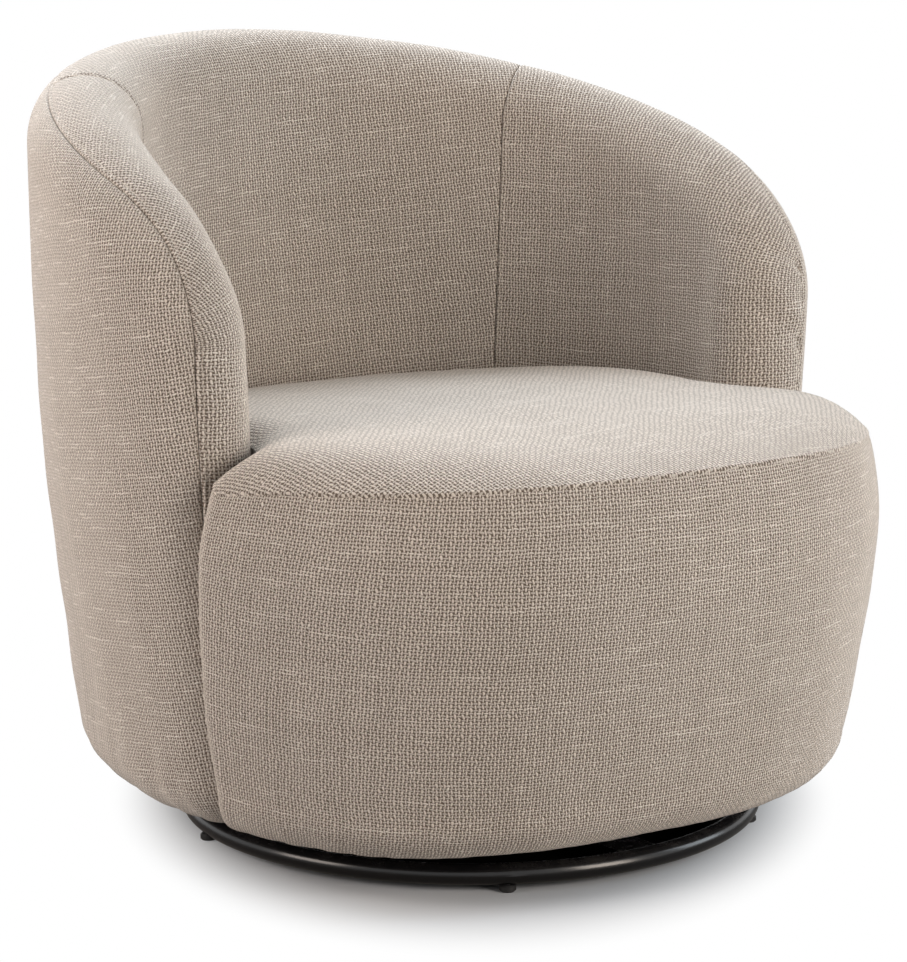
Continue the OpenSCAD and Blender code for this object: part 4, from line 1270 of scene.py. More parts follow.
    def arm(self, side: Side) -> tuple[Object, list[Pair]]:
        """One arm's inner panel, with the rolled front of the arm.

        Args:
            side: Which arm.

        Returns:
            The piece, and its lines of stitches.
        """
        s = SIZES
        seam = WALL.sweep_of(s.panel_top_angle + self.side_gap)
        low = s.arm_corner_h - s.inner_foot_z
        start, stop = WALL.edge_run(-low), WALL.edge_run(seam)
        q = WALL.edge_at(start + placed(stop - start, self.column_pitch, False, True))
        feet = -mix(s.post_angle, s.panel_foot_angle + self.side_gap, self._fanned(q, low, seam))
        rows = self._inner_rows()
        patch = Patch(*self._inner_grid(q, feet, rows, self.arm_grain))
        run = patch.columns_run()
        to_seam = run[:, -1:] - run
        seeds = (31 + side.value, 33 + side.value, 7 + side.value)
        height = self._hang(patch, to_seam, True, seeds)
        if side is Side.LEFT:
            height += sum(fold.relief(patch.points) for fold in ARM_FOLDS)
        angle = np.maximum(WALL.column(q).angle, -s.post_angle)[None, :]
        heart = WALL.point(angle, np.minimum(patch.points[..., 2], self.arm_heart_z), 0.0)
        done, out = patch.raised(height, heart), patch.facing(heart)
        core = self._core_grid(q, feet, rows)
        column = int(np.argmin(np.abs(to_seam[len(rows) // 2] - SEWING.stitch_at)))
        lines = [self._stitch_row(done, out, patch.rows_run()),
                 (done.points[3:, column], out[3:, column])]
        if side is Side.LEFT:
            done, core = done.mirrored(), core * MIRROR
            lines = [(points * MIRROR, normals * MIRROR) for points, normals in lines]
        name = f"{side.name.lower()}_arm"
        piece = self._pad(f"{name}_pad", done, core, [f"{name}_cover", f"{name}_foam"])
        return piece, lines


@dataclass(frozen=True)
class SeatPads:
    """The seat: its crowned top with the padding below, and the front that wraps round it.

    Rows of the front are numbers: 0 to 1 down the side, to 2 on the turned edge and to 3 below
    the frame.
    """

    cloth: Material
    column_pitch: float = 6.0
    # Length down which the rows of the top are spread, and the share of it that they reach
    top_reach: float = 300.0
    top_share: float = 0.97
    top_pitch: float = 9.0
    side_pitch: float = 8.0
    turn_rows: int = 12
    hem_rows: int = 4
    # Turn of the top's cloth in degrees, and how far the cloth is pulled wide on top and front
    cloth_turn: float = 7.0
    top_strain: float = 0.95
    front_strain: float = 1.1
    # Depth of the front's tuck at the seam as a multiple of the usual one
    seam_share: float = 1.7
    wall_tuck: float = 2.0
    wall_tuck_run: float = 6.0
    pucker_size: float = 0.4
    top_sway: float = 1.3
    top_calm: float = 70.0
    front_sway: float = 1.1
    front_calm: float = 50.0
    # Distance from the front's ends at which its lower folds are strongest, how wide they reach,
    # and their least strength elsewhere
    corner_at: float = 110.0
    corner_w: float = 75.0
    corner_least: float = 0.25
    # Rows at which the front's foam starts and ends and its relief fades, and over how many
    foam_start: tuple[float, float] = (0.32, 0.1)
    foam_end: tuple[float, float] = (1.5, 0.3)
    relief_end: tuple[float, float] = (1.6, 0.4)
    # Foot of the top's foam as multiples of its side, and its shift towards the swivel's axis
    foot_share: Point = (0.55, 0.6, 1.0)
    foot_shift: float = 0.4
    front_heart_z: float = 200.0
    front_slope: float = 0.06
    fill: float = 0.9

    def top(self) -> Object:
        """Crowned top with the foam below it.

        Returns:
            The piece.
        """
        half = PLAN.spread(PLAN.BACK, self.column_pitch)
        i = np.concatenate([half[:-1], -half[:0:-1]])
        spread = placed(self.top_reach * self.top_share, self.top_pitch, True, False)
        points = PLAN.top(i, 1 - spread / self.top_reach)
        reach = run_length(points[::-1], 0)[::-1]
        level = np.linalg.norm(points[..., :2] - [0.0, SIZES.seat_mid_y], axis=-1)
        flats = points[..., :2] * ((reach + level[-1]) / level)[..., None]
        flats = self.top_strain * spun(flats, self.cloth_turn)
        wrapped = np.concatenate([points[:, -1:], points, points[:, :1]], axis=1)
        normals = Patch(wrapped, wrapped[..., :2]).normals()[:, 1:-1]
        normals = normals * np.sign(np.median(normals[..., 2]))
        t = run_length(points, 0)
        along = run_length(points, 1)[0][None, :] + 0 * t
        front = 1 - eased((np.abs(i)[None, :] - PLAN.TOUCH) / 1.5)
        height = front * (seam_profile(t, band=True, sewn=False)
                          + puckers(t, along, seed=41, size=self.pucker_size))
        height += (1 - front) * -self.wall_tuck * np.exp(-t / self.wall_tuck_run)
        height += self.top_sway * Waves(9, 90, 420)(flats) * far_from(t, self.top_calm)
        top = points + normals * height[..., None]
        skirt = self._skirt(i)
        rings = np.concatenate([top[::-1], skirt])
        index = np.arange(rings[..., 0].size).reshape(rings.shape[:2])
        faces = [quads(index, closed=True), index[:1, ::-1], index[-1:]]
        flats = np.concatenate([flats[::-1], np.repeat(flats[:1], len(skirt), axis=0)])
        return make_pad("seat_pad", (rings.reshape(-1, 3), faces, flats.reshape(-1, 2)), self.cloth,
                        ["seat_top_cover", "seat_foam", "spring_felt"])

    def _skirt(self, i: Array) -> Array:
        """Rings of the foam's side below the seam and of its foot on the springs.

        Args:
            i: Signed places along the outline.

        Returns:
            Rings of points, downwards.
        """
        s = SIZES
        d = s.cloth_t + 2 * s.soft_gap
        share = np.array([0.02, 0.35, 0.7, 1.0])[:, None]
        z = mix(PLAN.edge_z(i) - s.cloth_t, s.foam_z, share)
        level = mix(s.seam_h - 2 * s.cloth_t, s.foam_z, share[:, 0])
        side = np.concatenate([PLAN.loop(i, level, d, d), z[..., None]], axis=-1)
        foot = side[-1:] * self.foot_share + [0.0, self.foot_shift * s.axis_y, -s.felt_t]
        return np.concatenate([side, foot])

    def front(self) -> Object:
        """Front panel from the seam down to its turned-in foot.

        Returns:
            The piece.
        """
        s = SIZES
        half = PLAN.spread(PLAN.TOUCH, self.column_pitch)
        i = np.concatenate([half[::-1], -half[1:]])
        length = s.seam_h - s.knee_z
        side_rows = placed(length, self.side_pitch, True, False) / length
        rows = numbered(side_rows, self.turn_rows, self.hem_rows)
        patch = Patch(self._front_grid(i, rows, np.zeros_like(rows)), self._front_flats(i, rows))
        t, run = patch.rows_run(), patch.columns_run()
        height = self.seam_share * seam_profile(t, band=False)
        height = height + puckers(t, run, seed=51, size=self.pucker_size)
        sway = self.front_sway * Waves(13, 80, 460)(patch.flats)
        height += sway * far_from(t, self.front_calm)
        height *= 1 - ramp(rows[:, None], *self.relief_end)
        from_end = np.minimum(run, run[:, -1:] - run)
        near = np.exp(-(((from_end - self.corner_at) / self.corner_w) ** 2))
        height += CORNER_PULLS.relief(run, rows[:, None]) * mix(self.corner_least, 1.0, near)
        done = patch.raised(height, np.array([0.0, s.seat_y, self.front_heart_z]))
        depth = mix(s.cloth_t, s.wadding_t, ramp(rows, *self.foam_start))
        depth = depth - (s.wadding_t - s.cloth_t) * ramp(rows, *self.foam_end)
        inner = self._front_grid(i, rows, depth)[::COARSE, ::COARSE]
        return make_pad("seat_front_pad", loft(done, inner), self.cloth,
                        ["seat_front_cover", "front_foam"])

    @staticmethod
    def _front_grid(i: Array, rows: Array, d: Array) -> Array:
        """Points of the front panel.

        Args:
            i: Signed places along the outline.
            rows: Rows.
            d: Depth below the finished face, one for each row.

        Returns:
            Grid of points.
        """
        s = SIZES
        v, depth = rows[:, None], d[:, None]
        level = mix(s.seam_h, s.knee_z, held(rows))
        a = 90 * held(rows - 1)
        turn_in = s.bottom_r - (s.bottom_r - d) * cos_d(a)
        done_in = s.bottom_r * (1 - cos_d(a))
        inset = np.where(rows > 1, turn_in, d)
        plan = PLAN.loop(i, level, inset, np.where(rows > 1, turn_in - 2 * done_in, d))
        foam_share = (s.seam_h - s.foam_z) / (s.seam_h - s.knee_z)
        upper = mix(PLAN.edge_z(i)[None, :] - s.seam_gap, s.foam_z, held(v / foam_share))
        z = np.where(v < foam_share, upper, level[:, None])
        z = z - np.where(v > 1, (s.bottom_r - depth) * sin_d(a)[:, None], 0.0)
        z = np.where(v > 2, s.hem_z + depth, z)
        inward = unit(np.array([0.0, s.seat_mid_y]) - plan)
        plan = plan + inward * (s.hem_wrap * held(v - 2))[..., None]
        return np.concatenate([plan, np.broadcast_to(z, plan.shape[:2])[..., None]], axis=-1)

    def _front_flats(self, i: Array, rows: Array) -> Array:
        """Places on the flat cloth of the front, the skin of a cone that narrows downwards.

        Args:
            i: Signed places along the outline.
            rows: Rows.

        Returns:
            Grid of flat places.
        """
        s = SIZES
        reach = s.seat_half_w / self.front_slope
        turn = (PLAN.run(i) * -np.sign(i) / reach)[None, :]
        v = rows[:, None]
        z = mix(s.seam_h, s.knee_z, held(v)) - s.bottom_r * np.radians(90 * held(v - 1))
        z = z - s.hem_wrap * held(v - 2)
        cloth = np.stack([(reach + z) * np.sin(turn), (reach + z) * np.cos(turn) - reach], axis=-1)
        return self.front_strain * cloth


@dataclass(frozen=True)
class Stitching:
    """Lines of short stitches, each a rounded thread that dips into the cloth at its ends."""

    thread: Material
    sides: int = 6
    # Rings of a stitch: their places along it, radii and heights, as multiples of its own sizes
    stations: tuple[float, ...] = (-0.5, -0.38, -0.12, 0.12, 0.38, 0.5)
    widths: tuple[float, ...] = (0.35, 0.85, 1.0, 1.0, 0.85, 0.35)
    rises: tuple[float, ...] = (-1.1, -0.1, 0.35, 0.35, -0.1, -1.1)

    def _line(self, points: Array, normals: Array) -> Array:
        """Rings of every stitch along one line.

        Args:
            points: Points along the line.
            normals: Outward normals there.

        Returns:
            Points, as stitches, rings and sides.
        """
        w = SEWING
        run = run_length(points, 0)
        count = int((run[-1] - w.stitch_pitch) / w.stitch_pitch)
        middles = w.stitch_pitch * (np.arange(count) + 1)
        at = middles[:, None] + np.array(self.stations)[None, :] * w.stitch_len
        path, out = (np.stack([np.interp(at, run, line[:, k]) for k in range(3)], axis=-1)
                     for line in (points, normals))
        ahead, out = unit(np.gradient(path, axis=1)), unit(out)
        out = unit(out - ahead * np.sum(out * ahead, axis=-1, keepdims=True))
        across = np.cross(ahead, out)
        path = path + out * (np.array(self.rises) * w.thread_r)[None, :, None]
        turn = 2 * np.pi * np.arange(self.sides) / self.sides
        radius = (np.array(self.widths) * w.thread_r)[None, :, None, None]
        ring = across[:, :, None] * np.cos(turn)[:, None] + out[:, :, None] * np.sin(turn)[:, None]
        return path[:, :, None] + radius * ring

    def sew(self, lines: Sequence[Pair]) -> Object:
        """All the stitches as one piece.

        Args:
            lines: Points and normals of each line.

        Returns:
            The piece.
        """
        rings = np.concatenate([self._line(p, n) for p, n in lines])
        index = np.arange(rings[..., 0].size).reshape(rings.shape[:3])
        faces = [quads(index, closed=True), index[:, 0, ::-1], index[:, -1]]
        piece = make_piece("topstitching", rings.reshape(-1, 3), faces, self.thread, sharp_angle=80)
        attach(piece, BODY)
        return piece


@dataclass(frozen=True)
class DustCloth:
    """Black cloth stretched below the frame, from its edge in to the round board."""

    material: Material
    columns: int = 288
    rows: int = 17
    # The cloth is cut as two half rings, one nested in the other, which saves this share of depth
    nested: float = 0.6
    # Sag between the edge and the board, its unevenness, and the small pleats at the edge
    sag: float = 0.5
    sway: float = 0.3
    sways: int = 9
    pleat: float = 0.35
    pleats: int = 46
    # Depth of the sheet below the top of its node, and its thickness as a share of the node's
    lowered: float = 0.35
    thickness: float = 0.8

    def _ring(self, turn: Array, r: Number) -> Array:
        """Plan points round the axis of the swivel."""
        return np.stack([r * np.sin(turn), SIZES.axis_y - r * np.cos(turn)], axis=-1)

    def make(self) -> Object:
        """The cloth as a thin closed sheet.

        Returns:
            The piece.
        """
        s = SIZES
        low, high = (np.array(v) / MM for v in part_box("dust_cloth"))
        turn = 2 * np.pi * np.arange(self.columns) / self.columns
        inner, outline = self._ring(turn, s.board_r + 2 * s.soft_gap), self._outline(turn)
        share = np.linspace(0, 1, self.rows)[:, None, None]
        plan = mix(inner[None], outline[None], share)
        depth = self.sag + self.sway * np.sin(turn * self.sways)[None, :]
        sag = np.sin(np.pi * share[..., 0]) * depth
        pleat = self.pleat * share[..., 0] ** 3 * np.sin(turn * self.pleats)[None, :]
        z = high[2] - (sag + pleat + self.lowered)
        upper = np.concatenate([plan, z[..., None]], axis=-1)
        lower = upper - [0.0, 0.0, (high[2] - low[2]) * self.thickness]
        rings = np.concatenate([upper, lower[::-1]])
        index = np.arange(rings[..., 0].size).reshape(rings.shape[:2])
        faces = [quads(np.concatenate([index, index[:1]]), closed=True)]
        points = rings.reshape(-1, 3)
        piece = make_piece("underside_cloth", points, faces, self.material, points[:, :2])
        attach(piece, BODY)
        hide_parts("dust_cloth")
        return piece

    def _outline(self, turn: Array) -> Array:
        """Edge of the cloth under the frame: the seat front ahead and the wall's foot behind.

        Args:
            turn: Angles round the axis of the swivel.

        Returns:
            Plan points.
        """
        s = SIZES
        inset = 1.2 * (s.bottom_r + 0.8)
        front = PLAN.loop(np.linspace(0, PLAN.EAR, 200), s.knee_z, inset, 0.0)[0]
        angle = np.linspace(s.half_t / s.degree / 2 - s.post_angle, 0, 400)
        back = WALL.point(angle, s.hem_z, s.half_t - inset)[:, :2]
        line = np.concatenate([front[:-12], back])
        line = np.concatenate([line, (line * [-1, 1])[::-1]])
        at = np.arctan2(-line[:, 0], -(line[:, 1] - s.axis_y)) % (2 * np.pi)
        order = np.argsort(at)
        radius = np.hypot(line[:, 0], line[:, 1] - s.axis_y)
        around = (-turn) % (2 * np.pi)
        return self._ring(turn, np.interp(around, at[order], radius[order], period=2 * np.pi))

    @staticmethod
    def _area(ring: Array) -> float:
        """Area inside a closed plan line, by the shoelace formula."""
        x, y = ring[:, 0], ring[:, 1]
        return abs(float(np.sum(x * np.roll(y, -1) - y * np.roll(x, -1)))) / 2


class GroupKind(Enum):
    """Node groups that materials share."""

    WEAVE = "basket_weave"
    GRAIN = "wood_grain"
    DUST = "settled_dust"
    ORANGE_PEEL = "orange_peel"


class Graph:
    """Short way to build the nodes of a material or a node group."""

    def __init__(self, tree: Tree) -> None:
        """Takes the tree in which the nodes are made."""
        self.tree = tree

    def node(self, kind: str, **settings: object) -> bpy.types.Node:
        """New node with some of its properties set."""
        made = self.tree.nodes.new(kind)
        for key, value in settings.items():
            setattr(made, key, value)
        return made

    def put(self, socket: Socket, value: Value) -> None:
        """Links a socket to another, or sets its constant.

        Args:
            socket: The input.
            value: Another node's output, a number, a vector, or a colour of three numbers.
        """
        if isinstance(value, bpy.types.NodeSocket):
            self.tree.links.new(value, socket)
        elif isinstance(value, (tuple, list)) and len(value) == 3 and socket.type == "RGBA":
            socket.default_value = (*value, 1.0)
        else:
            socket.default_value = value

    def math(self, operation: str, *values: Value) -> Socket:
        """Output of a math node."""
        made = self.node("ShaderNodeMath", operation=operation)
        for socket, value in zip(made.inputs, values):
            self.put(socket, value)
        return made.outputs[0]

    def times(self, a: Value, b: Value) -> Socket:
        """Product of two numbers."""
        return self.math("MULTIPLY", a, b)

    def plus(self, a: Value, b: Value) -> Socket:
        """Sum of two numbers."""
        return self.math("ADD", a, b)

    def less(self, a: Value, b: Value) -> Socket:
        """First number less the second."""
        return self.math("SUBTRACT", a, b)

    def smooth(self, value: Value, low: float, high: float) -> Socket:
        """Smooth step of a value from 0 at low to 1 at high."""
        made = self.node("ShaderNodeMapRange", interpolation_type="SMOOTHSTEP")
        for name, given in (("Value", value), ("From Min", low), ("From Max", high)):
            self.put(made.inputs[name], given)
        return made.outputs[0]

    def blend(self, factor: Value, a: Value, b: Value) -> Socket:
        """Mix of two numbers."""
        made = self.node("ShaderNodeMix", data_type="FLOAT")
        for place, value in ((0, factor), (2, a), (3, b)):
            self.put(made.inputs[place], value)
        return made.outputs[0]

    def tint(self, factor: Value, a: Value, b: Value) -> Socket:
        """Mix of two colours."""
        made = self.node("ShaderNodeMix", data_type="RGBA")
        for place, value in ((0, factor), (6, a), (7, b)):
            self.put(made.inputs[place], value)
        return made.outputs[2]

    def vector(self, x: Value, y: Value, z: Value) -> Socket:
        """Vector from three numbers."""
        made = self.node("ShaderNodeCombineXYZ")
        for socket, value in zip(made.inputs, (x, y, z)):
            self.put(socket, value)
        return made.outputs[0]

    def parts(self, vector: Socket) -> Sequence[Socket]:
        """The three numbers of a vector."""
        made = self.node("ShaderNodeSeparateXYZ")
        self.put(made.inputs[0], vector)
        return made.outputs

    def noise(self, vector: Socket, scale: float, detail: float = 2.0, rough: float = 0.5) -> Socket:
        """Noise from 0 to 1 at a place.

        Args:
            vector: The place.
            scale: Number of blotches in a metre.
            detail: Number of finer layers.
            rough: Strength of the finer layers.

        Returns:
            The noise.
        """
        made = self.node("ShaderNodeTexNoise")
        given = {"Vector": vector, "Scale": scale, "Detail": detail, "Roughness": rough}
        for name, value in given.items():
            self.put(made.inputs[name], value)
        return made.outputs["Fac"]

    def random(self, value: Value) -> Socket:
        """Random number from 0 to 1 for a number."""
        made = self.node("ShaderNodeTexWhiteNoise", noise_dimensions="1D")
        self.put(made.inputs["W"], value)
        return made.outputs["Value"]

    def place(self) -> Socket:
        """Place on the object, in metres."""
        return self.node("ShaderNodeTexCoord").outputs["Object"]

    def facing_up(self) -> Socket:
        """Upward part of the normal."""
        return self.parts(self.node("ShaderNodeNewGeometry").outputs["Normal"])[2]

    def bump(self, height: Socket, distance: float, strength: float) -> Socket:
        """Normal bent by a height."""
        made = self.node("ShaderNodeBump")
        for name, value in (("Strength", strength), ("Distance", distance), ("Height", height)):
            self.put(made.inputs[name], value)
        return made.outputs[0]

    def group(self, kind: GroupKind, **values: Value) -> Sequence[Socket]:
        """Outputs of a shared group placed with its own values."""
        made = self.node("ShaderNodeGroup", node_tree=GROUPS.get(kind))
        for key, value in values.items():
            self.put(made.inputs[key], value)
        return made.outputs


class Groups:
    """Makes each shared node group once."""

    def get(self, kind: GroupKind) -> Tree:
        """The group of a kind, made when it is first asked for."""
        makers = {GroupKind.WEAVE: self._weave, GroupKind.GRAIN: self._grain,
                  GroupKind.DUST: self._dust, GroupKind.ORANGE_PEEL: self._orange_peel}
        return bpy.data.node_groups.get(kind.value) or makers[kind]()

    @staticmethod
    def _start(
        kind: GroupKind, outputs: Sequence[str], **numbers: float,
    ) -> tuple[Graph, Sequence[Socket], Sequence[Socket]]:
        """New group that takes a place and some numbers.

        Args:
            kind: Which group.
            outputs: Names of what it puts out.
            numbers: Names of the numbers that it takes, with their usual values.

        Returns:
            Its graph, what it is given, and what it puts out.
        """
        tree = bpy.data.node_groups.new(kind.value, "ShaderNodeTree")
        tree.interface.new_socket("Place", in_out="INPUT", socket_type="NodeSocketVector")
        for name, usual in numbers.items():
            made = tree.interface.new_socket(name, in_out="INPUT", socket_type="NodeSocketFloat")
            made.default_value = usual
        for name in outputs:
            tree.interface.new_socket(name, in_out="OUTPUT", socket_type="NodeSocketFloat")
        g = Graph(tree)
        return g, g.node("NodeGroupInput").outputs, g.node("NodeGroupOutput").inputs

    def _weave(self) -> Tree:
        """Plain weave of thick and thin yarns, with a gap at each corner of its lattice, which the
        cloth fills with painted shade.

        Each yarn is a squared cosine across, as high as its own random thickness. The product of
        both cosines lifts one yarn over the other, in turns.

        Returns:
            The group.
        """
        g, given, result = self._start(
            GroupKind.WEAVE, ["Height", "Hole", "Tone", "Slub"], Across=0.0035, Up=0.003)
        place = given["Place"]
        x, y, _ = g.parts(place)
        slow = g.less(g.noise(place, 16.0, 1.0), 0.5)
        quick = g.less(g.noise(place, 210.0, 0.0), 0.5)
        wander = g.plus(g.times(slow, 1.6), g.times(quick, 0.75))
        u = g.plus(g.math("DIVIDE", x, given["Across"]), wander)
        v = g.less(g.math("DIVIDE", y, given["Up"]), g.times(wander, 0.8))
        yarn_u, yarn_v = g.math("ROUND", u), g.math("ROUND", v)
        wave_u, wave_v = (g.math("COSINE", g.times(w, np.pi)) for w in (u, v))
        over_under = g.times(g.times(wave_u, wave_v), 0.75)
        thick_u = g.blend(g.random(yarn_u), 0.90, 1.12)
        thick_v = g.blend(g.random(g.plus(yarn_v, 0.37)), 0.80, 1.02)
        warp = g.times(g.times(g.times(wave_u, wave_u), thick_u), g.plus(1.0, over_under))
        weft = g.times(g.times(g.times(wave_v, wave_v), thick_v), g.less(1.0, over_under))
        fibre = g.less(g.noise(place, 1100.0, 1.0), 0.5)
        height = g.plus(g.math("MAXIMUM", warp, weft), g.times(fibre, 0.62))
        over = g.smooth(g.less(weft, warp), -0.15, 0.15)
        under = g.less(1.0, over)
        along_v = g.noise(g.vector(g.times(x, 28.0), g.times(yarn_v, 7.3), 0.0), 1.0, 0.0)
        along_u = g.noise(g.vector(g.times(yarn_u, 5.9), g.times(y, 60.0), 3.0), 1.0, 0.0)
        slub_v = g.times(g.smooth(along_v, 0.62, 0.74), over)
        slub_u = g.times(g.smooth(along_u, 0.72, 0.84), under)
        g.put(result["Height"], height)
        # Hole marks the gaps, which the cloth fills with painted shade
        g.put(result["Hole"], g.smooth(height, 0.98, 0.34))
        # Tone marks where the warp lies on top: the cloth paints lighter shading there, the thread
        # its twist
        g.put(result["Tone"], under)
        g.put(result["Slub"], g.math("MAXIMUM", slub_v, slub_u))
        return g.tree

    def _grain(self) -> Tree:
        """Fine lines of wood grain along X, as noise stretched along them.

        Returns:
            The group.
        """
        g, given, result = self._start(GroupKind.GRAIN, ["Grain", "Pore"], Stretch=14.0)
        x, y, z = g.parts(given["Place"])
        slow = g.vector(g.math("DIVIDE", x, given["Stretch"]), y, z)
        g.put(result["Grain"], g.smooth(g.noise(slow, 90.0, 4.0, 0.55), 0.35, 0.68))
        g.put(result["Pore"], g.smooth(g.noise(slow, 900.0, 2.0, 0.6), 0.60, 0.74))
        return g.tree

    def _dust(self) -> Tree:
        """Dust on faces that look up, in soft patches."""
        g, given, result = self._start(GroupKind.DUST, ["Dust"])
        patches = g.smooth(g.noise(given["Place"], 60.0, 4.0, 0.65), 0.35, 0.75)
        g.put(result["Dust"], g.times(g.smooth(g.facing_up(), 0.35, 1.0), patches))
        return g.tree

    def _orange_peel(self) -> Tree:
        """Faint waviness of a sprayed coat."""
        g, given, result = self._start(GroupKind.ORANGE_PEEL, ["Height"])
        g.put(result["Height"], g.noise(given["Place"], 650.0, 2.0, 0.45))
        return g.tree


GROUPS = Groups()


@dataclass(frozen=True)
class Palette:
    """Linear colours that finishes share."""

    yarn: Colour = (0.68, 0.63, 0.58)
    black_paint: Colour = (0.007, 0.007, 0.008)
    black_board: Colour = (0.010, 0.010, 0.011)
    dust: Colour = (0.30, 0.28, 0.26)
    birch: Colour = (0.66, 0.50, 0.32)
    pine: Colour = (0.72, 0.54, 0.33)
    glue_line: Colour = (0.30, 0.19, 0.10)


PALETTE = Palette()


@dataclass(frozen=True, kw_only=True)
class Finish:
    """Procedural material: its constants, and what dress() makes change over the surface."""

    name: str
    roughness: float = 0.5
    metallic: float = 0.0
    specular: float = 0.5
    sheen: float = 0.0
    coat: float = 0.0
    coat_roughness: float = 0.03

    def make(self) -> Material:
        """Builds the material.

        Returns:
            The material.
        """
        material = bpy.data.materials.new(self.name)
        material.use_nodes = True
        graph = Graph(material.node_tree)
        shader = material.node_tree.nodes["Principled BSDF"].inputs
        constants = {
            "Roughness": self.roughness, "Metallic": self.metallic, "Sheen Weight": self.sheen,
            "Specular IOR Level": self.specular, "Coat Weight": self.coat,
            "Coat Roughness": self.coat_roughness,
        }
        for socket, value in constants.items():
            graph.put(shader[socket], value)
        self.dress(graph, shader)
        return material

    def dress(self, g: Graph, shader: Sequence[Socket]) -> None:
        """Feeds the Principled node with colours, masks and normals.

        Args:
            g: Graph of the material.
            shader: Inputs of its Principled node.
        """
        raise NotImplementedError


@dataclass(frozen=True, kw_only=True)
class CoverCloth(Finish):
    """Upholstery cloth: a heather weave with painted shade in its gaps, which close up when seen
    aslant.

    Open view is 1 where the cloth is seen from above and 0 where it is seen aslant. The painted
    shading where yarns cross and the painted shade in the gaps have a strength for each of the two.
    """

    across: float = 0.0035
    up: float = 0.0031
    slub: Colour = (0.82, 0.78, 0.73)
    # Colour of the painted shade in the weave's gaps
    gap: Colour = (0.080, 0.052, 0.032)
    level: float = 0.82
    # Strengths of the painted shading where yarns cross, aslant and from above
    aslant_crossing_shading: float = 0.50
    open_crossing_shading: float = 0.20
    # Strengths of the painted shade in the gaps, aslant and from above
    aslant_gap_shade: float = 0.52
    open_gap_shade: float = 0.88

    def dress(self, g: Graph, shader: Sequence[Socket]) -> None:
        """Colours the yarns and slubs, paints shading where the yarns cross and shade in their gaps,
        and raises the weave.
        """
        place = g.node("ShaderNodeUVMap", uv_map=CLOTH_MAP).outputs[0]
        weave = g.group(GroupKind.WEAVE, Place=place, Across=self.across, Up=self.up)
        aslant = g.node("ShaderNodeLayerWeight")
        g.put(aslant.inputs["Blend"], 0.5)
        open_view = g.smooth(aslant.outputs["Facing"], 0.90, 0.35)
        patches = g.noise(place, 22.0, 3.0, 0.6)
        # Painted shading where yarns cross: lighter where the warp lies on top, more so aslant
        crossing_shading = g.blend(open_view, self.aslant_crossing_shading, self.open_crossing_shading)
        level = g.plus(g.times(weave["Tone"], crossing_shading), g.times(patches, 0.10))
        lit = g.node("ShaderNodeHueSaturation")
        g.put(lit.inputs["Color"], PALETTE.yarn)
        g.put(lit.inputs["Value"], g.plus(level, self.level))
        colour = g.tint(g.times(weave["Slub"], 0.85), lit.outputs[0], self.slub)
        # Painted shade in the weave's gaps, deeper where the cloth is seen from above
        depth = g.times(weave["Hole"], g.blend(open_view, self.aslant_gap_shade, self.open_gap_shade))
        g.put(shader["Base Color"], g.tint(depth, colour, self.gap))
        g.put(shader["Normal"], g.bump(weave["Height"], 0.0006, 0.75))


@dataclass(frozen=True, kw_only=True)
class SewingThread(Finish):
    """Sewing thread, a little darker than the cloth, with a fine twist."""

    pitch: float = 0.0006
    colour: Colour = (0.50, 0.44, 0.37)

    def dress(self, g: Graph, shader: Sequence[Socket]) -> None:
        """Colours the twist."""
        weave = g.group(GroupKind.WEAVE, Place=g.place(), Across=self.pitch, Up=self.pitch)
        g.put(shader["Base Color"], g.tint(weave["Tone"], self.colour, PALETTE.yarn))


@dataclass(frozen=True, kw_only=True)
class BlackSteel(Finish):
    """Glossy black sprayed steel with a little dust on top."""

    dust: float = 0.06
    rough: tuple[float, float] = (0.22, 0.34)

    def dress(self, g: Graph, shader: Sequence[Socket]) -> None:
        """Settles the dust, and ripples the coat."""
        place = g.place()
        dust = g.group(GroupKind.DUST, Place=place)["Dust"]
        g.put(shader["Base Color"],
              g.tint(g.times(dust, self.dust), PALETTE.black_paint, PALETTE.dust))
        g.put(shader["Roughness"], g.blend(dust, *self.rough))
        peel = g.group(GroupKind.ORANGE_PEEL, Place=place)["Height"]
        g.put(shader["Normal"], g.bump(peel, 0.00012, 0.5))


@dataclass(frozen=True, kw_only=True)
class BlackBoard(Finish):
    """Board stained black, with open pores and a satin face."""

    stretch: float = 6.0
    dust: float = 0.05
    rough: tuple[float, float] = (0.42, 0.55)

    def dress(self, g: Graph, shader: Sequence[Socket]) -> None:
        """Opens the pores of the grain, and settles the dust."""
        place = g.place()
        grain = g.group(GroupKind.GRAIN, Place=place, Stretch=self.stretch)
        dust = g.group(GroupKind.DUST, Place=place)["Dust"]
        base = g.tint(g.times(grain["Pore"], 0.35), PALETTE.black_board, PALETTE.black_paint)
        g.put(shader["Base Color"], g.tint(g.times(dust, self.dust), base, PALETTE.dust))
        g.put(shader["Roughness"], g.blend(grain["Grain"], *self.rough))
        g.put(shader["Normal"], g.bump(grain["Pore"], 0.0001, 0.4))


@dataclass(frozen=True, kw_only=True)
class Plywood(Finish):
    """Birch plywood with its plies on the edges."""

    stretch: float = 18.0
    ply: float = 1.5 * MM
    rough: tuple[float, float] = (0.6, 0.8)

    def dress(self, g: Graph, shader: Sequence[Socket]) -> None:
        """Draws the grain, and darkens every other ply where a face is upright."""
        place = g.place()
        grain = g.group(GroupKind.GRAIN, Place=place, Stretch=self.stretch)
        edge = g.smooth(g.less(1.0, g.math("ABSOLUTE", g.facing_up())), 0.4, 0.6)
        ply = g.math("PINGPONG", g.times(g.parts(place)[2], 1 / self.ply), 1.0)
        dark = g.times(g.smooth(ply, 0.35, 0.65), edge)
        colour = g.tint(g.times(grain["Grain"], 0.35), PALETTE.birch, PALETTE.pine)
        colour = g.tint(g.times(grain["Pore"], 0.3), colour, PALETTE.glue_line)
        g.put(shader["Base Color"], g.tint(g.times(dark, 0.55), colour, PALETTE.glue_line))
        g.put(shader["Roughness"], g.blend(edge, *self.rough))


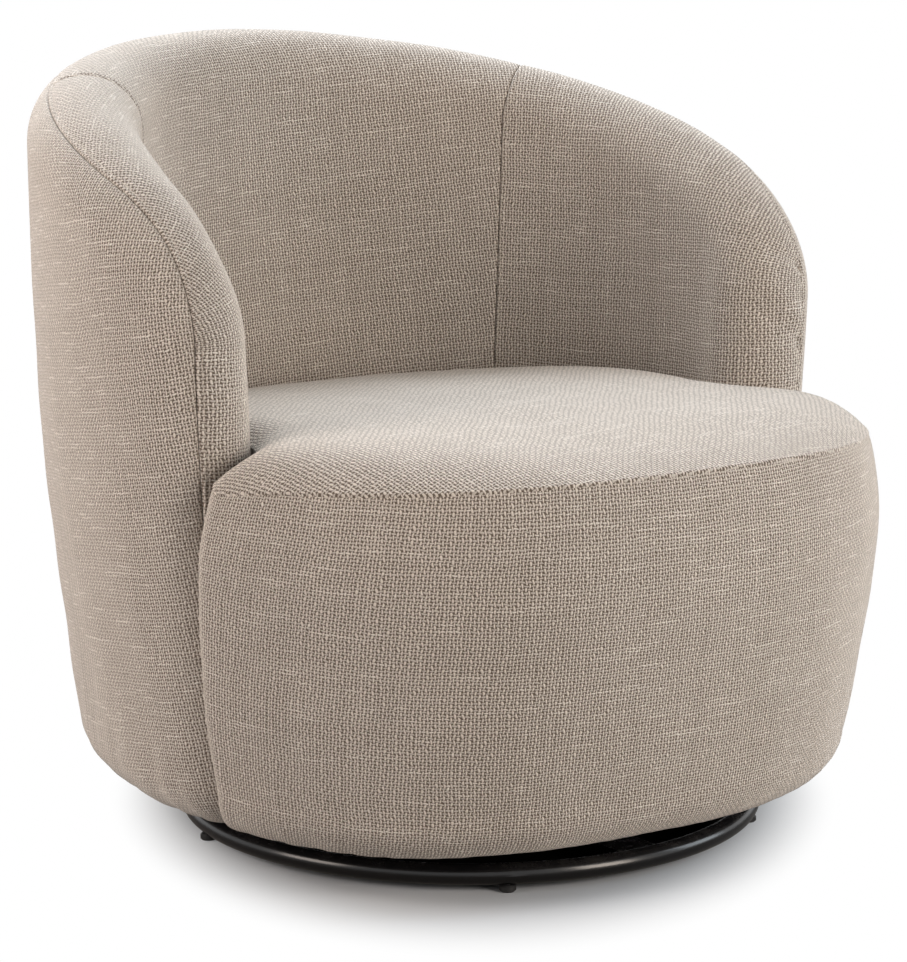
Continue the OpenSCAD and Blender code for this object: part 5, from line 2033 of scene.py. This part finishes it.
@dataclass(frozen=True, kw_only=True)
class Timber(Finish):
    """Planed softwood."""

    stretch: float = 12.0

    def dress(self, g: Graph, shader: Sequence[Socket]) -> None:
        """Draws the grain."""
        grain = g.group(GroupKind.GRAIN, Place=g.place(), Stretch=self.stretch)
        colour = g.tint(g.times(grain["Grain"], 0.5), PALETTE.pine, PALETTE.birch)
        colour = g.tint(g.times(grain["Pore"], 0.25), colour, PALETTE.glue_line)
        g.put(shader["Base Color"], colour)


@dataclass(frozen=True, kw_only=True)
class BondedCloth(Finish):
    """Black cloth bonded by pressed dots."""

    dots: float = 620.0

    def dress(self, g: Graph, shader: Sequence[Socket]) -> None:
        """Presses the dots in."""
        g.put(shader["Base Color"], PALETTE.black_board)
        dots = g.node("ShaderNodeTexVoronoi")
        g.put(dots.inputs["Vector"], g.place())
        g.put(dots.inputs["Scale"], self.dots)
        g.put(shader["Normal"], g.bump(g.smooth(dots.outputs["Distance"], 0.2, 0.5), 0.0002, 0.6))


@dataclass(frozen=True, kw_only=True)
class Mottled(Finish):
    """Plain stuff mottled by noise, in colour, in roughness or in both."""

    colour: Colour
    spots: Colour | None = None
    rough: tuple[float, float] | None = None
    scale: float
    detail: float
    harsh: float = 0.5

    def dress(self, g: Graph, shader: Sequence[Socket]) -> None:
        """Mottles what has a second value, and keeps the rest plain."""
        noise = g.noise(g.place(), self.scale, self.detail, self.harsh)
        g.put(shader["Base Color"],
              g.tint(noise, self.colour, self.spots) if self.spots else self.colour)
        if self.rough:
            g.put(shader["Roughness"], g.blend(noise, *self.rough))


# Finishes in the order of their making, each with the nodes of the frame that wear it
FINISHES = (
    (BlackSteel(name="black_steel", specular=0.32, coat=0.2, coat_roughness=0.15),
     ["base_ring", "crossed_bars"]),
    (Mottled(name="glide_plastic", colour=(0.016, 0.016, 0.017), rough=(0.38, 0.55), scale=400.0,
             detail=2.0, specular=0.4),
     ["glides"]),
    (Mottled(name="plated_steel", colour=(0.62, 0.64, 0.67), spots=(0.50, 0.51, 0.53),
             rough=(0.28, 0.46), scale=260.0, detail=3.0, harsh=0.6, metallic=1.0),
     ["lower_race_plate", "lower_plate_bolts", "centre_pin", "pin_washer", "pin_nut",
      "bearing_balls", "upper_race_plate", "upper_plate_bolts"]),
    (Mottled(name="brass_strip", colour=(0.72, 0.55, 0.28), rough=(0.25, 0.42), scale=500.0,
             detail=2.0, metallic=1.0),
     ["ball_cage"]),
    (Mottled(name="spring_steel", colour=(0.30, 0.31, 0.33), spots=(0.20, 0.20, 0.21),
             rough=(0.34, 0.52), scale=700.0, detail=3.0, harsh=0.7, metallic=1.0),
     ["zigzag_springs", "spring_clips"]),
    (BlackBoard(name="black_board", specular=0.45), ["swivel_board"]),
    (Plywood(name="plywood", specular=0.25),
     ["bottom_plate", "seat_deck", "front_panel", "wall_ribs", "top_rail"]),
    (Timber(name="timber", roughness=0.65, specular=0.25), ["deck_posts", "arm_posts"]),
    (Mottled(name="hardboard", colour=(0.28, 0.17, 0.09), spots=(0.36, 0.23, 0.13), scale=520.0,
             detail=4.0, harsh=0.7, roughness=0.75, specular=0.2),
     ["inner_liner", "outer_liner"]),
    (BondedCloth(name="dust_cloth", roughness=0.9, specular=0.15, sheen=0.15), ["dust_cloth"]),
    (Mottled(name="felt", colour=(0.32, 0.32, 0.33), spots=(0.42, 0.40, 0.38), scale=900.0,
             detail=3.0, harsh=0.75, roughness=1.0, specular=0.05, sheen=0.3),
     ["spring_felt"]),
    (Mottled(name="foam", colour=(0.80, 0.70, 0.42), spots=(0.70, 0.58, 0.32), scale=1100.0,
             detail=2.0, harsh=0.7, roughness=1.0, specular=0.05),
     ["seat_foam", "front_foam", "back_foam", "left_arm_foam", "right_arm_foam"]),
    (Mottled(name="wadding", colour=(0.86, 0.86, 0.84), spots=(0.76, 0.76, 0.75), scale=240.0,
             detail=4.0, harsh=0.7, roughness=1.0, specular=0.05, sheen=0.4),
     ["outer_wadding"]),
    (CoverCloth(name="cover_cloth", roughness=0.95, specular=0.10, sheen=0.10),
     ["back_cover", "left_arm_cover", "right_arm_cover", "outer_cover", "seat_top_cover",
      "seat_front_cover"]),
)
THREAD = SewingThread(name="sewing_thread", roughness=0.7, specular=0.3)


@dataclass(frozen=True)
class SoftBox:
    """One area light, in metres and watts."""

    name: str
    place: Point
    target: Point
    size: tuple[float, float]
    power: float
    colour: Colour


SOFT_BOXES = (
    SoftBox("top_box", (0.1, 0.15, 2.7), (0.0, -0.1, 0.3), (2.4, 2.4), 23.0, (1.0, 1.0, 0.98)),
    SoftBox("rear_box", (0.2, 1.7, 2.3), (0.0, 0.0, 0.4), (2.0, 1.2), 64.0, (0.88, 0.94, 1.0)),
    SoftBox("left_box", (-2.5, 0.3, 1.2), (-0.2, -0.1, 0.4), (1.2, 1.8), 46.0, (1.0, 0.87, 0.78)),
    SoftBox("right_box", (2.1, -1.3, 1.1), (0.2, -0.2, 0.3), (1.0, 1.8), 23.0, (0.84, 0.93, 1.0)),
    SoftBox("front_fill", (0.8, -3.2, 1.0), (0.1, -0.1, 0.3), (1.2, 1.6), 67.0, (1.0, 0.88, 0.77)),
)


@dataclass(frozen=True)
class Studio:
    """White sweep, soft boxes and camera, in metres and degrees."""

    floor_r: float = 6.0
    floor_corners: int = 96
    floor_z: float = -0.0005
    # Radius of the disc below the board in which the floor is painted with shade
    painted_shade_r: float = 0.240
    # Oval within which the floor keeps the shadow: turn, middle and half lengths
    pool_turn: float = -36.4
    pool_at: Point = (0.076, 0.042, 0.0)
    pool_size: tuple[float, float] = (0.342, 0.539)
    # Floor as the camera sees it, as the lamps' light meets it, and the nearly black painted shade
    # in a disc below the board
    floor_seen: Colour = (0.74, 0.80, 0.87)
    floor_lit: Colour = (0.42, 0.42, 0.42)
    floor_painted_shade: Colour = (0.01, 0.01, 0.01)
    camera_at: Point = (-1.600, -2.184, 0.774)
    camera_aim: Point = (-0.0131, -0.0471, 0.3164)
    lens: float = 107.1
    sensor: float = 36.0
    ambient: float = 0.02
    ambient_colour: Colour = (1.0, 0.97, 0.94)

    def build(self) -> None:
        """Makes everything that isn't part of the chair."""
        bpy.context.scene.view_settings.view_transform = "Standard"
        self._world()
        self._floor()
        for box in SOFT_BOXES:
            self._light(box)
        self._camera()

    def _world(self) -> None:
        """Dim surroundings that the camera and mirrored rays see as white."""
        world = bpy.data.worlds.new("studio")
        world.use_nodes = True
        bpy.context.scene.world = world
        g = Graph(world.node_tree)
        background = world.node_tree.nodes["Background"].inputs
        path = g.node("ShaderNodeLightPath").outputs
        mirrored = g.math("MAXIMUM", path["Is Glossy Ray"], path["Is Transmission Ray"])
        seen = g.math("MAXIMUM", path["Is Camera Ray"], mirrored)
        g.put(background["Strength"], g.blend(seen, self.ambient, 1.0))
        g.put(background["Color"], g.tint(seen, self.ambient_colour, (1.0, 1.0, 1.0)))

    def _floor(self) -> None:
        """Round floor, a hair below the glides."""
        turn = 2 * np.pi * np.arange(self.floor_corners) / self.floor_corners
        x, y = self.floor_r * np.cos(turn), self.floor_r * np.sin(turn)
        points = np.stack([x, y, np.full_like(x, self.floor_z)], axis=-1)
        mesh = bpy.data.meshes.new("floor")
        mesh.from_pydata(points.tolist(), [], [list(range(self.floor_corners))])
        mesh.materials.append(self._floor_finish())
        floor = bpy.data.objects.new("floor", mesh)
        bpy.context.scene.collection.objects.link(floor)

    @staticmethod
    def _oval(g: Graph, place: Socket, turn: float, middle: Point, size: Sequence[float]) -> Socket:
        """Distance from the middle of an oval on the floor, one on its rim.

        Args:
            g: Graph of the floor's material.
            place: Place on the floor.
            turn: Turn of the oval in degrees.
            middle: Its middle.
            size: Its half lengths.

        Returns:
            The distance.
        """
        made = g.node("ShaderNodeMapping", vector_type="TEXTURE")
        rotation = (0.0, 0.0, np.radians(turn))
        given = {"Vector": place, "Location": middle, "Rotation": rotation, "Scale": (*size, 1.0)}
        for name, value in given.items():
            g.put(made.inputs[name], value)
        length = g.node("ShaderNodeVectorMath", operation="LENGTH")
        g.put(length.inputs[0], made.outputs[0])
        return length.outputs["Value"]

    def _floor_finish(self) -> Material:
        """White floor that keeps the shadow near the chair, is painted nearly black with shade in a
        disc below the board, and turns pure white further out.

        Returns:
            The material.
        """
        material = bpy.data.materials.new("floor_white")
        material.use_nodes = True
        tree = material.node_tree
        tree.nodes.remove(tree.nodes["Principled BSDF"])
        g = Graph(tree)
        place = g.place()
        pool = self._oval(g, place, self.pool_turn, self.pool_at, self.pool_size)
        axis = (0.0, SIZES.axis_y * MM, 0.0)
        # Disc round the swivel's axis in which the floor is painted with shade
        below = self._oval(g, place, 0.0, axis, (self.painted_shade_r, self.painted_shade_r))
        seen = g.node("ShaderNodeLightPath").outputs["Is Camera Ray"]
        diffuse = g.node("ShaderNodeBsdfDiffuse")
        level = g.tint(seen, self.floor_lit, self.floor_seen)
        # Painted shade: inside that disc the floor's colour turns nearly black
        g.put(diffuse.inputs["Color"], g.tint(g.smooth(below, 1.08, 1.0), level, self.floor_painted_shade))
        white = g.node("ShaderNodeEmission")
        g.put(white.inputs["Strength"], 1.0)
        whole = g.node("ShaderNodeMixShader")
        away = g.times(g.smooth(pool, 0.77, 1.053), seen)
        for socket, value in zip(whole.inputs, (away, diffuse.outputs[0], white.outputs[0])):
            g.put(socket, value)
        g.put(tree.nodes["Material Output"].inputs["Surface"], whole.outputs[0])
        return material

    @staticmethod
    def _stand(name: str, data: bpy.types.ID, place: Point, target: Point) -> Object:
        """Puts a lamp or a camera in its place.

        Args:
            name: Name of the object.
            data: The lamp or the camera.
            place: Where it stands.
            target: Where it is aimed.

        Returns:
            The object.
        """
        made = bpy.data.objects.new(name, data)
        made.location = place
        way = Vector(target) - Vector(place)
        made.rotation_euler = way.to_track_quat("-Z", "Y").to_euler()
        bpy.context.scene.collection.objects.link(made)
        return made

    def _light(self, box: SoftBox) -> None:
        """Area light of a soft box, which the camera doesn't see."""
        light = bpy.data.lights.new(box.name, "AREA")
        light.shape = "RECTANGLE"
        light.size, light.size_y = box.size
        light.energy, light.color = box.power, box.colour
        self._stand(box.name, light, box.place, box.target).visible_camera = False

    def _camera(self) -> None:
        """Camera at the place and with the lens that the photograph was fitted to."""
        lens = bpy.data.cameras.new("camera")
        lens.lens, lens.sensor_width, lens.sensor_fit = self.lens, self.sensor, "AUTO"
        camera = self._stand("camera", lens, self.camera_at, self.camera_aim)
        bpy.context.scene.camera = camera


def paint_nodes() -> dict[str, Material]:
    """Gives every node of the frame its finish.

    Returns:
        The materials by their names.
    """
    made = {}
    for finish, nodes in FINISHES:
        made[finish.name] = finish.make()
        for node in nodes:
            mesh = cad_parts[node].data
            mesh.materials.clear()
            mesh.materials.append(made[finish.name])
    return made


def write_sizes() -> None:
    """Brings the view layer up to date."""
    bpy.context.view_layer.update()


def main() -> None:
    """Builds the whole scene."""
    logging.basicConfig(level=logging.INFO)
    materials = paint_nodes()
    panels = WallPanels(materials[CLOTH_SLOT])
    panels.outer()
    _, lines = panels.back()
    for side in Side:
        lines += panels.arm(side)[1]
    seat = SeatPads(materials[CLOTH_SLOT])
    seat.top()
    seat.front()
    Stitching(THREAD.make()).sew(lines)
    DustCloth(materials["dust_cloth"]).make()
    Studio().build()
    write_sizes()


if __name__ == "__main__":
    main()
